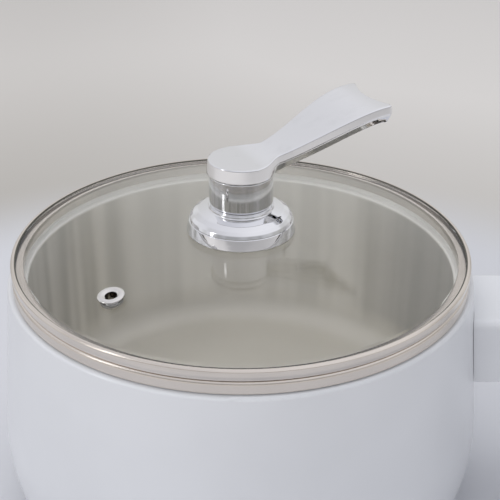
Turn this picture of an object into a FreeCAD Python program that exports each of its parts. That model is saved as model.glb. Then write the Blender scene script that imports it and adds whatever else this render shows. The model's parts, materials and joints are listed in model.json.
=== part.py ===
import FreeCAD, Part
import math
import os

from FreeCAD import Vector

# Electric hot pot: a steel pot in a drum-shaped plastic shell, with a lift-off glass lid.
# Millimetres. Origin on the table, on the pot's own axis. +Z up, the handle along +X, the dial on -Y.

# Clearances
seat_gap = 0.10          # between curved faces of one body that seat on each other
face_gap = 0.02          # between flat faces of one body that press on each other
running_gap = 0.05       # radial, round the turning shaft
rest_gap = 0.30          # between the lid and the pot it rests on
knob_clearance = 0.80    # between the turning dial and its bezel
screw_gap = 0.25         # radial, round a screw in a clearance hole

# Pot and rim
sheet = 0.8
pot_rim_top = 130.0
pot_rim_width = 4.6
pot_hem_height = 5.9
pot_step_width = 3.2
pot_step_depth = 6.7
pot_inner_radius = 102.0
pot_bottom_z = 38.0
pot_corner_radius = 16.0
pot_rim_bend = 0.7

# Outer shell
shell_wall = 2.5
shell_top_overhang = 2.3
shell_lip_drop = 0.35
shell_flare_deg = 5.21
shell_bulge_start_z = 52.0
shell_bulge_radius = 90.0
shell_bottom_z = 3.0
shell_edge_round = 1.6
shell_lip_thickness = 2.5
shell_boss_radius = 4.2
shell_boss_inset = 14.1
shell_cut_depth = 22.0
shell_boss_top = 24.0
shell_boss_rib = 2.0

# Lid
glass_thickness = 4.0
glass_edge_inset = 1.1
glass_edge_flat = 4.9
glass_dome_rise = 11.1
glass_bore = 5.5
rim_sheet = 0.7
rim_height = 5.4
rim_overhang = 0.2
rim_lip_width = 2.6
rim_tuck = 0.7
rim_skirt_gap = 0.8
rim_skirt_drop = 4.2
rim_corner = 0.9

# Steam vent
vent_distance = 80.0
vent_azimuth_deg = 224.8
vent_flange_radius = 6.2
vent_flange_height = 1.6
vent_bore_radius = 2.6
vent_tube_radius = 3.9
vent_washer_radius = 6.6
vent_washer_height = 1.2

# Lid knob, heights above the glass crown
knob_base_radius = 26.1
knob_base_band = 5.5
knob_base_draft = 1.2
knob_dome_height = 5.8
knob_neck_radius = 15.2
knob_neck_flare = 1.8
knob_neck_height = 1.6
knob_groove = 0.5
knob_groove_radius = 14.4
stem_radius = 15.25
stem_height = 15.4
stem_foot_round = 1.7
head_radius = 16.1
head_height = 6.7
head_gap = 0.5
head_undercut_deg = 8.0
arm_azimuth_deg = 26.8
arm_reach = 71.8
arm_thickness = 7.9
arm_rise = 20.3
arm_neck_half = 9.6
arm_tail_half = 17.9
arm_end_sag = 4.9
arm_wall = 1.8
arm_side_bulge = 0.5
arm_undercut = 1.8
arm_blend_reach = 14.0
arm_blend_half = 15.2
arm_edge_round = 0.45
screw_radius = 2.5
screw_head_radius = 4.6
screw_head_height = 2.6
knob_boss_radius = 5.0
knob_gasket_radius = 21.0
knob_gasket_thickness = 1.4
knob_washer_radius = 11.0
knob_washer_thickness = 1.6

# Handle
handle_top_z = 108.0
handle_depth = 33.3
handle_half_width = 25.3
handle_length = 118.0
handle_wall = 2.6
handle_straight = 34.0
handle_end_half_width = 19.5
handle_end_depth = 26.0
handle_end_round = 15.0
handle_edge_round = 4.0
handle_rib = 2.0
handle_rib_pitch = 22.0
handle_boss_radius = 4.0
handle_cover_thickness = 2.5
handle_screw_pitch = 26.0
handle_plate_thickness = 2.0
handle_plate_half_width = 20.0
handle_plate_height = 26.0

# Dial
dial_z = 38.0
bezel_radius = 26.0
bezel_proud = 3.0
bezel_round = 1.4
bezel_sleeve_radius = 8.0
bushing_radius = 5.0
bushing_proud = 4.0
switch_nut_radius = 7.5
switch_nut_height = 2.2
switch_half_width = 12.5
switch_depth = 10.5
switch_tab_pitch = 8.0
switch_tab_length = 5.0
shaft_radius = 3.0
dial_radius = 19.0
dial_height = 16.0
dial_wall = 2.2
dial_skirt_height = 4.0
dial_grip_half = 4.2
dial_hub_radius = 5.6
dial_flutes = 24
dial_flute_radius = 0.9
lens_radius = 2.6
lens_proud = 0.8
lens_offset = 22.0
lamp_length = 8.0

# Power inlet
inlet_z = 26.0
inlet_half_width = 16.0
inlet_half_height = 12.5
inlet_proud = 1.6
inlet_socket_half_width = 12.2
inlet_socket_half_height = 8.5
inlet_socket_depth = 16.0
inlet_socket_chamfer = 4.0
inlet_body_wall = 1.6
inlet_round = 1.5
pin_spacing = 14.0
pin_offset = 2.0
pin_width = 2.0
pin_height = 4.0
pin_recess = 1.5
pin_tail = 7.0

# Base
base_bottom_z = 2.0
base_plate = 2.5
base_edge_gap = 0.3
base_rim_wall = 2.0
base_slot_count = 16
base_slot_length = 16.0
base_slot_width = 3.0
base_slot_radius = 62.0
well_depth = 6.0
well_wall = 1.6
well_floor = 2.0
small_screw_radius = 1.75
small_head_radius = 3.4
small_head_height = 2.0
small_screw_grip = 9.0
foot_inset = 14.0
foot_width = 9.0
foot_tongue_width = 3.0
foot_tongue_height = 1.4
foot_round = 0.6

# Heater
plate_margin = 22.0
plate_thickness = 6.0
element_inset = 18.0
element_radius = 3.3
element_depth = 1.8
element_gap_deg = 40.0
element_pin_drop = 9.0
shield_inset = 8.0
shield_z = 12.0
shield_sheet = 0.8
shield_upturn = 7.0
shield_window = 26.0
post_circle = 38.0
post_radius = 3.6
post_foot_radius = 2.6
post_count = 3
shield_nut_radius = 4.8
shield_nut_height = 2.4
thermostat_radius = 8.0
thermostat_height = 9.0
thermostat_flange_radius = 9.0
thermostat_flange_height = 1.5
thermostat_blade = 6.0
bracket_sheet = 0.8
bracket_reach = 15.0
bracket_side_strip = 2.0
bracket_leg_radius = 4.0
fuse_radius = 2.0
fuse_length = 11.0
fuse_offset = 26.0

# Internal leads
lead_radius = 1.3
lead_inset = 3.1
lead_z = 28.0

# Radii that follow from the pot's bore
pot_step_radius = pot_inner_radius + pot_step_width
pot_rim_radius = pot_step_radius + pot_rim_width
lid_radius = pot_rim_radius + rim_overhang
glass_edge_radius = lid_radius - glass_edge_inset
glass_flat_radius = glass_edge_radius - glass_edge_flat
rim_lip_radius = lid_radius - rim_lip_width
rim_bottom_radius = lid_radius - rim_tuck
rim_skirt_radius = pot_step_radius - rim_skirt_gap
shell_top_radius = pot_rim_radius + shell_top_overhang
wall_inner = shell_top_radius - shell_cut_depth
wall_outer = shell_top_radius + shell_cut_depth
shell_boss_circle = shell_top_radius - shell_boss_inset
foot_inner_radius = shell_boss_circle - foot_inset
shield_radius = shell_boss_circle - shield_inset
plate_radius = pot_inner_radius - plate_margin
element_ring_radius = plate_radius - element_inset
lead_ring_radius = shell_top_radius - lead_inset

# Levels that follow from the sizes above
foot_tongue_top = base_bottom_z + foot_tongue_height
base_plate_top = base_bottom_z + base_plate
well_top = base_bottom_z + well_depth
pot_hem_bottom = pot_rim_top - pot_hem_height
shell_top_z = pot_hem_bottom - shell_lip_drop
plate_top_z = pot_bottom_z - face_gap
plate_bottom_z = plate_top_z - plate_thickness
rim_bottom_z = pot_rim_top + rest_gap
rim_top_z = rim_bottom_z + rim_height
glass_top_edge_z = rim_top_z - rim_sheet - face_gap
glass_crown_z = glass_top_edge_z + glass_dome_rise
dome_radius = (glass_flat_radius ** 2 + glass_dome_rise ** 2) / (2.0 * glass_dome_rise)
dome_centre_z = glass_crown_z - dome_radius
flare = math.tan(math.radians(shell_flare_deg))
bulge_start_radius = shell_top_radius + flare * (shell_top_z - shell_bulge_start_z)
bulge_centre_r = bulge_start_radius - shell_bulge_radius * math.cos(math.radians(shell_flare_deg))
bulge_centre_z = shell_bulge_start_z - shell_bulge_radius * math.sin(math.radians(shell_flare_deg))


def shell_radius(z, inset=0.0):
    """Outer radius of the drum at a height, less an inset measured square to the wall."""
    if z >= shell_bulge_start_z:
        slope = math.cos(math.radians(shell_flare_deg))
        return shell_top_radius + flare * (shell_top_z - z) - inset / slope
    reach = shell_bulge_radius - inset
    return bulge_centre_r + math.sqrt(reach ** 2 - (z - bulge_centre_z) ** 2)


def glass_top(r):
    """Height of the glass's upper face at a distance from the axis."""
    if r >= glass_flat_radius:
        return glass_top_edge_z
    return dome_centre_z + math.sqrt(dome_radius ** 2 - r ** 2)


def outline(start, *legs):
    """Closed face in the XZ plane. A leg is an end point, or a middle point and an end point."""
    edges = []
    here = Vector(start[0], 0, start[1])
    first = here
    for leg in legs:
        if len(leg) == 2 and not isinstance(leg[0], tuple):
            there = Vector(leg[0], 0, leg[1])
            edges.append(Part.makeLine(here, there))
        else:
            middle, end = leg
            there = Vector(end[0], 0, end[1])
            edges.append(Part.Arc(here, Vector(middle[0], 0, middle[1]), there).toShape())
        here = there
    if here.distanceToPoint(first) > 1e-6:
        edges.append(Part.makeLine(here, first))
    return Part.Face(Part.Wire(edges))


def turned(start, *legs):
    """Solid of revolution about +Z from an outline in radius and height."""
    return outline(start, *legs).revolve(Vector(0, 0, 0), Vector(0, 0, 1), 360)


def disc(radius, z0, z1, x=0.0, y=0.0):
    return Part.makeCylinder(radius, z1 - z0, Vector(x, y, z0))


def tube(outer, inner, z0, z1, x=0.0, y=0.0):
    return disc(outer, z0, z1, x, y).cut(disc(inner, z0 - 1, z1 + 1, x, y))


def block(x0, x1, y0, y1, z0, z1):
    return Part.makeBox(x1 - x0, y1 - y0, z1 - z0, Vector(x0, y0, z0))


def joined(shapes):
    whole = shapes[0]
    for shape in shapes[1:]:
        whole = whole.fuse(shape)
    return whole.removeSplitter()


def around(shape, count, start_deg=0.0):
    """Copies of a shape spaced evenly about the pot's axis."""
    copies = []
    for i in range(count):
        copy = shape.copy()
        copy.rotate(Vector(0, 0, 0), Vector(0, 0, 1), start_deg + 360.0 * i / count)
        copies.append(copy)
    return copies


def circle_points(radius, count, start_deg):
    angles = [math.radians(start_deg + 360.0 * i / count) for i in range(count)]
    return [(radius * math.cos(a), radius * math.sin(a)) for a in angles]


def rounded(shape, radius, chosen):
    """Fillet on the edges that a test picks."""
    edges = [edge for edge in shape.Edges if chosen(edge)]
    return shape.makeFillet(radius, edges)


def at_height(z):
    return lambda edge: abs(edge.BoundBox.ZMin - z) < 1e-4 and abs(edge.BoundBox.ZMax - z) < 1e-4


def bent_rod(points, rod_radius):
    """Round rod along straight runs joined by tangent arcs as large as the runs allow."""
    route = [Vector(*point) for point in points]
    edges = []
    here = route[0]
    for before, corner, after in zip(route, route[1:], route[2:]):
        into = (corner - before).normalize()
        out = (after - corner).normalize()
        turn = into.getAngle(out)
        setback = 0.45 * min(corner.distanceToPoint(before), corner.distanceToPoint(after))
        bend_radius = setback / math.tan(turn / 2.0)
        start = corner - into * setback
        end = corner + out * setback
        bisector = (out - into).normalize()
        centre = corner + bisector * (bend_radius / math.cos(turn / 2.0))
        middle = centre - bisector * bend_radius
        edges.append(Part.makeLine(here, start))
        edges.append(Part.Arc(start, middle, end).toShape())
        here = end
    edges.append(Part.makeLine(here, route[-1]))
    ring = Part.Wire(Part.makeCircle(rod_radius, route[0], route[1] - route[0]))
    return Part.Wire(edges).makePipeShell([ring], True, False)


# Pot


def inner_pot():
    """Drawn steel pot: flat bottom, rounded corner, straight wall, step and turned-down hem."""
    bottom = pot_bottom_z
    corner = pot_corner_radius
    outer = pot_inner_radius + sheet
    step_z = pot_rim_top - pot_step_depth
    bend = pot_rim_bend
    inner_corner = corner - sheet
    diagonal = 1.0 - math.sqrt(0.5)
    return turned(
        (0, bottom),
        (outer - corner, bottom),
        ((outer - corner * diagonal, bottom + corner * diagonal), (outer, bottom + corner)),
        (outer, step_z - sheet),
        (pot_step_radius + sheet, step_z - sheet),
        (pot_step_radius + sheet, pot_rim_top - sheet),
        (pot_rim_radius - sheet, pot_rim_top - sheet),
        (pot_rim_radius - sheet, pot_hem_bottom),
        (pot_rim_radius, pot_hem_bottom),
        (pot_rim_radius, pot_rim_top - bend),
        ((pot_rim_radius - bend * diagonal, pot_rim_top - bend * diagonal),
         (pot_rim_radius - bend, pot_rim_top)),
        (pot_step_radius, pot_rim_top),
        (pot_step_radius, step_z),
        (pot_inner_radius, step_z),
        (pot_inner_radius, bottom + corner),
        ((pot_inner_radius - inner_corner * diagonal, bottom + sheet + inner_corner * diagonal),
         (pot_inner_radius - inner_corner, bottom + sheet)),
        (0, bottom + sheet),
    )


def rim_seal():
    """Soft ring that carries the pot's rim on the shell's lip."""
    inner = pot_step_radius + sheet + seat_gap
    outer = pot_rim_radius - sheet - seat_gap
    return turned(
        (inner, shell_top_z + face_gap),
        (outer, shell_top_z + face_gap),
        (outer, pot_rim_top - sheet - face_gap),
        (inner, pot_rim_top - sheet - face_gap),
    )


# Outer shell


def drum(inset, top, bottom):
    """Solid drum bounded by the shell's outer face moved in by an inset."""
    middle_z = (shell_bulge_start_z + bottom) / 2.0
    knee = shell_bulge_start_z
    return turned(
        (0, top),
        (shell_radius(top, inset), top),
        (shell_radius(knee, inset), knee),
        ((shell_radius(middle_z, inset), middle_z), (shell_radius(bottom, inset), bottom)),
        (0, bottom),
    )


def radial_prism(half_x, half_z, z, y0, y1):
    """Block that runs along Y, for windows in the shell's front and back."""
    return block(-half_x, half_x, y0, y1, z - half_z, z + half_z)


def front_bore(radius, z, x=0.0, y0=-wall_outer, y1=-wall_inner):
    """Cylinder along Y through the shell's front."""
    return Part.makeCylinder(radius, y1 - y0, Vector(x, y0, z), Vector(0, 1, 0))


def handle_screw_places():
    middle = handle_top_z - handle_depth / 2.0
    return [(-handle_screw_pitch / 2.0, middle), (handle_screw_pitch / 2.0, middle)]


def outer_shell():
    """Drum wall with a top lip, screw bosses and openings for dial, lamp, inlet and handle."""
    body = drum(0.0, shell_top_z, shell_bottom_z)
    body = rounded(body, shell_edge_round, at_height(shell_top_z))
    cavity = drum(shell_wall, shell_top_z - shell_lip_thickness, shell_bottom_z - 1.0)
    lip_hole = disc(pot_step_radius + sheet + seat_gap, shell_bottom_z, shell_top_z + 1.0)
    body = body.cut(cavity).cut(lip_hole)
    for x, y in circle_points(shell_boss_circle, 4, 45.0):
        angle = math.degrees(math.atan2(y, x))
        boss = disc(shell_boss_radius, well_top + face_gap, shell_boss_top, x, y)
        rib = block(shell_boss_circle, shell_radius(shell_boss_top), -shell_boss_rib / 2.0,
                    shell_boss_rib / 2.0, well_top + face_gap, shell_boss_top)
        rib.rotate(Vector(0, 0, 0), Vector(0, 0, 1), angle)
        inside = drum(shell_wall / 2.0, shell_top_z, shell_bottom_z)
        body = body.fuse(boss.fuse(rib).common(inside))
        body = body.cut(disc(small_screw_radius, well_top - 1.0, well_top + small_screw_grip, x, y))
    body = body.cut(front_bore(bezel_sleeve_radius + seat_gap, dial_z))
    body = body.cut(front_bore(lens_radius + seat_gap, dial_z + lens_offset))
    window_x = inlet_socket_half_width + inlet_body_wall + seat_gap
    window_z = inlet_socket_half_height + inlet_body_wall + seat_gap
    body = body.cut(radial_prism(window_x, window_z, inlet_z, wall_inner, wall_outer))
    for y, z in handle_screw_places():
        body = body.cut(Part.makeCylinder(screw_radius + screw_gap, 2.0 * shell_cut_depth,
                                          Vector(wall_inner, y, z), Vector(1, 0, 0)))
    return body.removeSplitter()


# Base


def well_places():
    """Centres of the base's screw wells: four for the shell and three for the posts."""
    return circle_points(shell_boss_circle, 4, 45.0), circle_points(post_circle, post_count, 90.0)


def base_cover():
    """Bottom disc with an upstand, foot groove, screw wells and ventilation slots."""
    radius = shell_radius(shell_bottom_z, shell_wall) - base_edge_gap
    rim_top = well_top - face_gap
    body = disc(radius, base_bottom_z, base_plate_top)
    body = body.fuse(tube(radius, radius - base_rim_wall, base_bottom_z, rim_top))
    well_outer = small_head_radius + screw_gap + well_wall
    shell_wells, post_wells = well_places()
    for x, y in shell_wells + post_wells:
        body = body.fuse(disc(well_outer, base_bottom_z, well_top, x, y))
    for x, y in shell_wells + post_wells:
        body = body.cut(disc(small_head_radius + screw_gap, base_bottom_z - 1.0,
                             well_top - well_floor, x, y))
        body = body.cut(disc(small_screw_radius + screw_gap, base_bottom_z, well_top + 1.0, x, y))
    middle = foot_inner_radius + foot_width / 2.0
    groove_half = foot_tongue_width / 2.0 + seat_gap
    body = body.cut(tube(middle + groove_half, middle - groove_half, base_bottom_z - 1.0,
                         foot_tongue_top + face_gap))
    half = base_slot_length / 2.0
    slot = block(base_slot_radius - half, base_slot_radius + half, -base_slot_width / 2.0,
                 base_slot_width / 2.0, base_bottom_z - 1.0, base_plate_top + 1.0)
    for x in (base_slot_radius - half, base_slot_radius + half):
        slot = slot.fuse(disc(base_slot_width / 2.0, base_bottom_z - 1.0, base_plate_top + 1.0, x, 0))
    for copy in around(slot.removeSplitter(), base_slot_count, 180.0 / base_slot_count):
        body = body.cut(copy)
    return body.removeSplitter()


def foot_ring():
    """Non-slip ring under the base, with a tongue in the base's groove."""
    outer = foot_inner_radius + foot_width
    middle = foot_inner_radius + foot_width / 2.0
    half = foot_tongue_width / 2.0
    top = base_bottom_z - face_gap
    return turned(
        (foot_inner_radius + foot_round, 0),
        (outer - foot_round, 0),
        (outer, foot_round),
        (outer, top),
        (middle + half, top),
        (middle + half, foot_tongue_top),
        (middle - half, foot_tongue_top),
        (middle - half, top),
        (foot_inner_radius, top),
        (foot_inner_radius, foot_round),
    )


def pan_screw(head_radius, head_height, radius, length):
    """Screw along +Z with its head below zero and a domed head with a cross slot."""
    crown = head_height * 0.35
    body = turned(
        (0, -head_height),
        (head_radius * 0.55, -head_height),
        ((head_radius * 0.86, -head_height + crown * 0.4), (head_radius, -head_height + crown)),
        (head_radius, 0),
        (radius, 0),
        (radius, length - radius * 0.6),
        (radius * 0.4, length),
        (0, length),
    )
    arm = head_radius * 0.55
    slot = head_radius * 0.11
    depth = head_height * 0.5
    cross = block(-arm, arm, -slot, slot, -head_height - 1.0, -head_height + depth)
    cross = cross.fuse(block(-slot, slot, -arm, arm, -head_height - 1.0, -head_height + depth))
    return body.cut(cross)


def screws_at(places, head_z, length):
    screw = pan_screw(small_head_radius, small_head_height, small_screw_radius - seat_gap, length)
    copies = []
    for x, y in places:
        copy = screw.copy()
        copy.translate(Vector(x, y, head_z))
        copies.append(copy)
    return Part.makeCompound(copies)


def base_screws():
    return screws_at(well_places()[0], well_top - well_floor - face_gap,
                     well_floor + small_screw_grip - 1.0)


def tie_screws():
    return screws_at(well_places()[1], well_top - well_floor - face_gap,
                     well_floor + small_screw_grip - 1.0)


# Heater


def element_path_cutter(extra):
    """Tube of the element, grown by a clearance: three quarters of a ring with turned-down ends."""
    z = plate_bottom_z + element_depth - element_radius
    start = element_gap_deg / 2.0
    ring = Part.makeTorus(element_ring_radius, element_radius + extra, Vector(0, 0, z),
                          Vector(0, 0, 1), -180, 180, 360 - element_gap_deg)
    ring.rotate(Vector(0, 0, 0), Vector(0, 0, 1), start)
    pieces = [ring]
    for angle in (start, -start):
        x = element_ring_radius * math.cos(math.radians(angle))
        y = element_ring_radius * math.sin(math.radians(angle))
        pieces.append(Part.makeSphere(element_radius + extra, Vector(x, y, z)))
        pieces.append(disc(element_radius + extra, z - element_pin_drop, z, x, y))
    return joined(pieces)


def heating_element():
    return element_path_cutter(0.0)


def heating_plate():
    """Aluminium disc with a bevelled edge, a groove for the element and threaded post seats."""
    bevel = 1.0
    body = turned(
        (0, plate_bottom_z),
        (plate_radius - bevel, plate_bottom_z),
        (plate_radius, plate_bottom_z + bevel),
        (plate_radius, plate_top_z),
        (0, plate_top_z),
    )
    return body.cut(element_path_cutter(seat_gap))


def heat_shield():
    """Dished sheet below the plate, with a window for the thermostat and holes for the posts."""
    sheet_top = shield_z + shield_sheet
    edge_top = shield_z + shield_upturn
    body = turned(
        (shield_window, shield_z),
        (shield_radius, shield_z),
        (shield_radius, edge_top),
        (shield_radius - shield_sheet, edge_top),
        (shield_radius - shield_sheet, sheet_top),
        (shield_window, sheet_top),
    )
    for x, y in circle_points(post_circle, post_count, 90.0):
        body = body.cut(disc(post_foot_radius + seat_gap, shield_z - 1.0, sheet_top + 1.0, x, y))
    pin_hole = element_radius + 1.5
    for sign in (1, -1):
        angle = math.radians(sign * element_gap_deg / 2.0)
        x = element_ring_radius * math.cos(angle)
        y = element_ring_radius * math.sin(angle)
        body = body.cut(disc(pin_hole, shield_z - 1.0, sheet_top + 1.0, x, y))
    return body


def tie_posts():
    """Shouldered posts from the heating plate through the shield to the base."""
    shoulder = shield_z + shield_sheet + face_gap
    posts = []
    for x, y in circle_points(post_circle, post_count, 90.0):
        post = disc(post_radius, shoulder, plate_bottom_z - face_gap, x, y)
        post = post.fuse(disc(post_foot_radius, well_top + face_gap, shoulder, x, y))
        post = post.cut(disc(small_screw_radius, well_top, well_top + small_screw_grip, x, y))
        posts.append(post.removeSplitter())
    return Part.makeCompound(posts)


def hexagon(radius, z0, z1, x, y):
    corners = [Vector(x + px, y + py, z0) for px, py in circle_points(radius, 6, 0.0)]
    face = Part.Face(Part.makePolygon(corners + [corners[0]]))
    return face.extrude(Vector(0, 0, z1 - z0))


def shield_nuts():
    top = shield_z - face_gap
    nuts = []
    for x, y in circle_points(post_circle, post_count, 90.0):
        nut = hexagon(shield_nut_radius, top - shield_nut_height, top, x, y)
        nuts.append(nut.cut(disc(post_foot_radius + seat_gap, 0.0, top + 1.0, x, y)))
    return Part.makeCompound(nuts)


def thermostat():
    """Snap-disc thermostat: metal cap against the plate, moulded body and two blades."""
    top = plate_bottom_z - face_gap
    flange_bottom = top - thermostat_flange_height
    body_bottom = top - thermostat_height
    body = disc(thermostat_flange_radius, flange_bottom, top)
    body = body.fuse(disc(thermostat_radius, body_bottom, flange_bottom))
    for sign in (1, -1):
        x = sign * thermostat_radius * 0.55
        body = body.fuse(block(x - 0.4, x + 0.4, -3.0, 3.0, body_bottom - thermostat_blade, body_bottom))
    return body.removeSplitter()


def bracket_screw_places():
    return [(0.0, bracket_reach), (0.0, -bracket_reach)]


def thermostat_bracket():
    """Sheet bridge that presses the thermostat's flange on the plate."""
    flange_bottom = plate_bottom_z - face_gap - thermostat_flange_height - face_gap
    half = thermostat_radius + seat_gap + bracket_side_strip
    reach = bracket_reach + bracket_leg_radius
    body = block(-half, half, -reach, reach, flange_bottom - bracket_sheet, flange_bottom)
    for sign in (1, -1):
        y = sign * bracket_reach
        body = body.fuse(tube(bracket_leg_radius, small_screw_radius, flange_bottom - bracket_sheet,
                              plate_bottom_z - face_gap, 0, y))
        body = body.cut(disc(small_screw_radius, 0.0, plate_bottom_z, 0, y))
    body = body.cut(disc(thermostat_radius + seat_gap, 0.0, plate_bottom_z))
    return body.removeSplitter()


def bracket_screws():
    head_z = plate_bottom_z - thermostat_flange_height - 2.0 * face_gap - bracket_sheet - face_gap
    length = plate_bottom_z - face_gap - head_z
    return screws_at(bracket_screw_places(), head_z, length)


def thermal_fuse():
    """Small capsule with two leads, lying against the plate."""
    z = plate_bottom_z - fuse_radius - seat_gap
    half = fuse_length / 2.0
    body = Part.makeCylinder(fuse_radius, fuse_length, Vector(-fuse_offset, -half, z), Vector(0, 1, 0))
    wire = Part.makeCylinder(0.5, fuse_length * 2.0, Vector(-fuse_offset, -fuse_length, z),
                             Vector(0, 1, 0))
    return body.fuse(wire).removeSplitter()


def fuse_clip():
    """Sheet saddle round the fuse with a foot on each side against the plate."""
    z = plate_bottom_z - fuse_radius - seat_gap
    half = fuse_length * 0.3
    saddle_radius = fuse_radius + seat_gap + bracket_sheet
    saddle = Part.makeCylinder(saddle_radius, 2.0 * half, Vector(-fuse_offset, -half, z), Vector(0, 1, 0))
    foot_half = saddle_radius + 5.0
    foot = block(-fuse_offset - foot_half, -fuse_offset + foot_half, -half, half,
                 plate_bottom_z - face_gap - bracket_sheet, plate_bottom_z - face_gap)
    body = saddle.fuse(foot)
    body = body.cut(block(-fuse_offset - 20.0, -fuse_offset + 20.0, -20.0, 20.0,
                          plate_bottom_z - face_gap, plate_bottom_z + 10.0))
    hollow = Part.makeCylinder(fuse_radius + seat_gap / 2.0, 40.0, Vector(-fuse_offset, -20.0, z),
                               Vector(0, 1, 0))
    throat = fuse_radius + seat_gap / 2.0
    body = body.cut(hollow)
    body = body.cut(block(-fuse_offset - throat, -fuse_offset + throat, -20.0, 20.0, z,
                          plate_bottom_z + 1.0))
    return body.removeSplitter()


# Dial


def bezel_face_y():
    return -(shell_radius(dial_z) + bezel_proud)


def switch_front_y():
    """Depth of the switch block's front face, clear of the wall at its lower corners."""
    wall = shell_radius(dial_z - switch_half_width) - shell_wall
    return -(math.sqrt(wall ** 2 - switch_half_width ** 2) - seat_gap)


def along_front(radius, y_outer, y_inner, z=dial_z, x=0.0):
    """Cylinder along Y between two depths at the shell's front."""
    return Part.makeCylinder(radius, y_inner - y_outer, Vector(x, y_outer, z), Vector(0, 1, 0))


def control_bezel():
    """Round plate that follows the drum behind, with a sleeve through the shell."""
    face = bezel_face_y()
    plate = along_front(bezel_radius, face, -wall_inner)
    plate = plate.makeFillet(bezel_round, [e for e in plate.Edges if abs(e.BoundBox.YMax - face) < 1e-4])
    plate = plate.cut(drum(-seat_gap, shell_top_z, shell_bottom_z))
    sleeve = along_front(bezel_sleeve_radius, face + bezel_round, switch_front_y() - face_gap)
    body = plate.fuse(sleeve)
    body = body.cut(along_front(bushing_radius + seat_gap, face - 1.0, -wall_inner))
    body = body.cut(along_front(lens_radius + seat_gap, face - 1.0, -wall_inner, dial_z + lens_offset))
    return body.removeSplitter()


def rotary_switch():
    """Switch block behind the shell with a bushing through the bezel and three terminals."""
    front = switch_front_y()
    half = switch_half_width
    body = block(-half, half, front, front + switch_depth, dial_z - half, dial_z + half)
    body = body.makeFillet(2.0, [e for e in body.Edges if abs(e.BoundBox.YLength - switch_depth) < 1e-4])
    body = body.fuse(along_front(bushing_radius, bezel_face_y() - bushing_proud, front + 1.0))
    middle = front + switch_depth / 2.0
    bottom = dial_z - half
    for x in (-switch_tab_pitch, 0.0, switch_tab_pitch):
        body = body.fuse(block(x - 2.4, x + 2.4, middle - 0.4, middle + 0.4,
                               bottom - switch_tab_length, bottom))
    body = body.cut(along_front(shaft_radius + running_gap, bezel_face_y() - bushing_proud - 1.0,
                                front + switch_depth * 0.6 + running_gap))
    return body.removeSplitter()


def switch_nut():
    """Hexagon nut that clamps the switch to the bezel."""
    face = bezel_face_y() - face_gap
    nut = hexagon(switch_nut_radius, 0.0, switch_nut_height, 0.0, 0.0)
    nut.rotate(Vector(0, 0, 0), Vector(1, 0, 0), 90)
    nut.translate(Vector(0, face, dial_z))
    return nut.cut(along_front(bushing_radius + seat_gap, face - 20.0, face + 20.0))


def switch_shaft():
    """Turning shaft with a flat where the dial grips it."""
    front = bezel_face_y() - knob_clearance - dial_height + dial_wall + face_gap
    back = switch_front_y() + switch_depth * 0.6
    body = along_front(shaft_radius, front, back)
    flat_end = bezel_face_y() - bushing_proud - 0.5
    flat = block(-shaft_radius - 1.0, shaft_radius + 1.0, front - 1.0, flat_end,
                 dial_z + shaft_radius * 0.5, dial_z + shaft_radius + 1.0)
    return body.cut(flat)


def control_knob():
    """Hollow dial with a fluted skirt, a raised grip bar and a hub on the shaft."""
    back = bezel_face_y() - knob_clearance
    front = back - dial_height
    collar = back - dial_skirt_height
    skirt = along_front(dial_radius, collar, back)
    for i in range(dial_flutes):
        angle = 2.0 * math.pi * i / dial_flutes
        x = dial_radius * math.cos(angle)
        z = dial_z + dial_radius * math.sin(angle)
        skirt = skirt.cut(along_front(dial_flute_radius, collar - 1.0, back + 1.0, z, x))
    crown = Part.makeCone(dial_radius - 1.6, dial_radius - 3.4, 5.0, Vector(0, collar, dial_z),
                          Vector(0, -1, 0))
    grip = block(-dial_grip_half, dial_grip_half, front, collar, dial_z - dial_radius + 2.4,
                 dial_z + dial_radius - 2.4)
    grip = grip.makeFillet(1.6, [e for e in grip.Edges if e.BoundBox.YMax - front < 1e-4])
    body = skirt.fuse(crown).fuse(grip)
    hollow = along_front(dial_radius - dial_wall - 1.4, collar + 0.6 - dial_wall * 0.5, back + 1.0)
    well_radius = switch_nut_radius + 2.0
    body = body.cut(hollow)
    body = body.cut(along_front(well_radius, collar - 2.4, back + 1.0))
    hub = along_front(dial_hub_radius, front + dial_wall, bezel_face_y() - bushing_proud - 0.6)
    body = body.fuse(hub)
    bore = along_front(shaft_radius + face_gap, front + dial_wall, back + 1.0)
    flat = block(-shaft_radius - 1.0, shaft_radius + 1.0, front, back,
                 dial_z + shaft_radius * 0.5 + face_gap, dial_z + shaft_radius + 1.0)
    return body.cut(bore.cut(flat)).removeSplitter()


def indicator_lens():
    """Domed pilot light lens in the bezel."""
    face = bezel_face_y()
    inner = -(shell_radius(dial_z + lens_offset) - shell_wall)
    z = dial_z + lens_offset
    body = along_front(lens_radius, face - lens_proud * 0.4, inner, z)
    cap = Part.makeSphere(lens_radius * 1.25, Vector(0, face - lens_proud + lens_radius * 1.25, z))
    cap = cap.common(along_front(lens_radius, face - lens_proud - 0.1, face, z))
    return body.fuse(cap).removeSplitter()


def indicator_lamp():
    """Small neon lamp behind the lens."""
    z = dial_z + lens_offset
    front = -(shell_radius(z) - shell_wall) + face_gap
    body = along_front(lens_radius * 0.85, front, front + lamp_length, z)
    return body.makeFillet(1.0, [e for e in body.Edges if abs(e.BoundBox.YMin - front - lamp_length) < 1e-4])


# Power inlet


def inlet_face_y():
    return shell_radius(inlet_z + inlet_half_height) + inlet_proud


def socket_outline(half_x, half_z, chamfer, y):
    """Rectangle with two cut corners, as an appliance inlet has."""
    z0 = inlet_z - half_z
    z1 = inlet_z + half_z
    points = [(-half_x, z0), (half_x, z0), (half_x, z1 - chamfer), (half_x - chamfer, z1),
              (-half_x + chamfer, z1), (-half_x, z1 - chamfer)]
    corners = [Vector(x, y, z) for x, z in points]
    return Part.Face(Part.makePolygon(corners + [corners[0]]))


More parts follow.
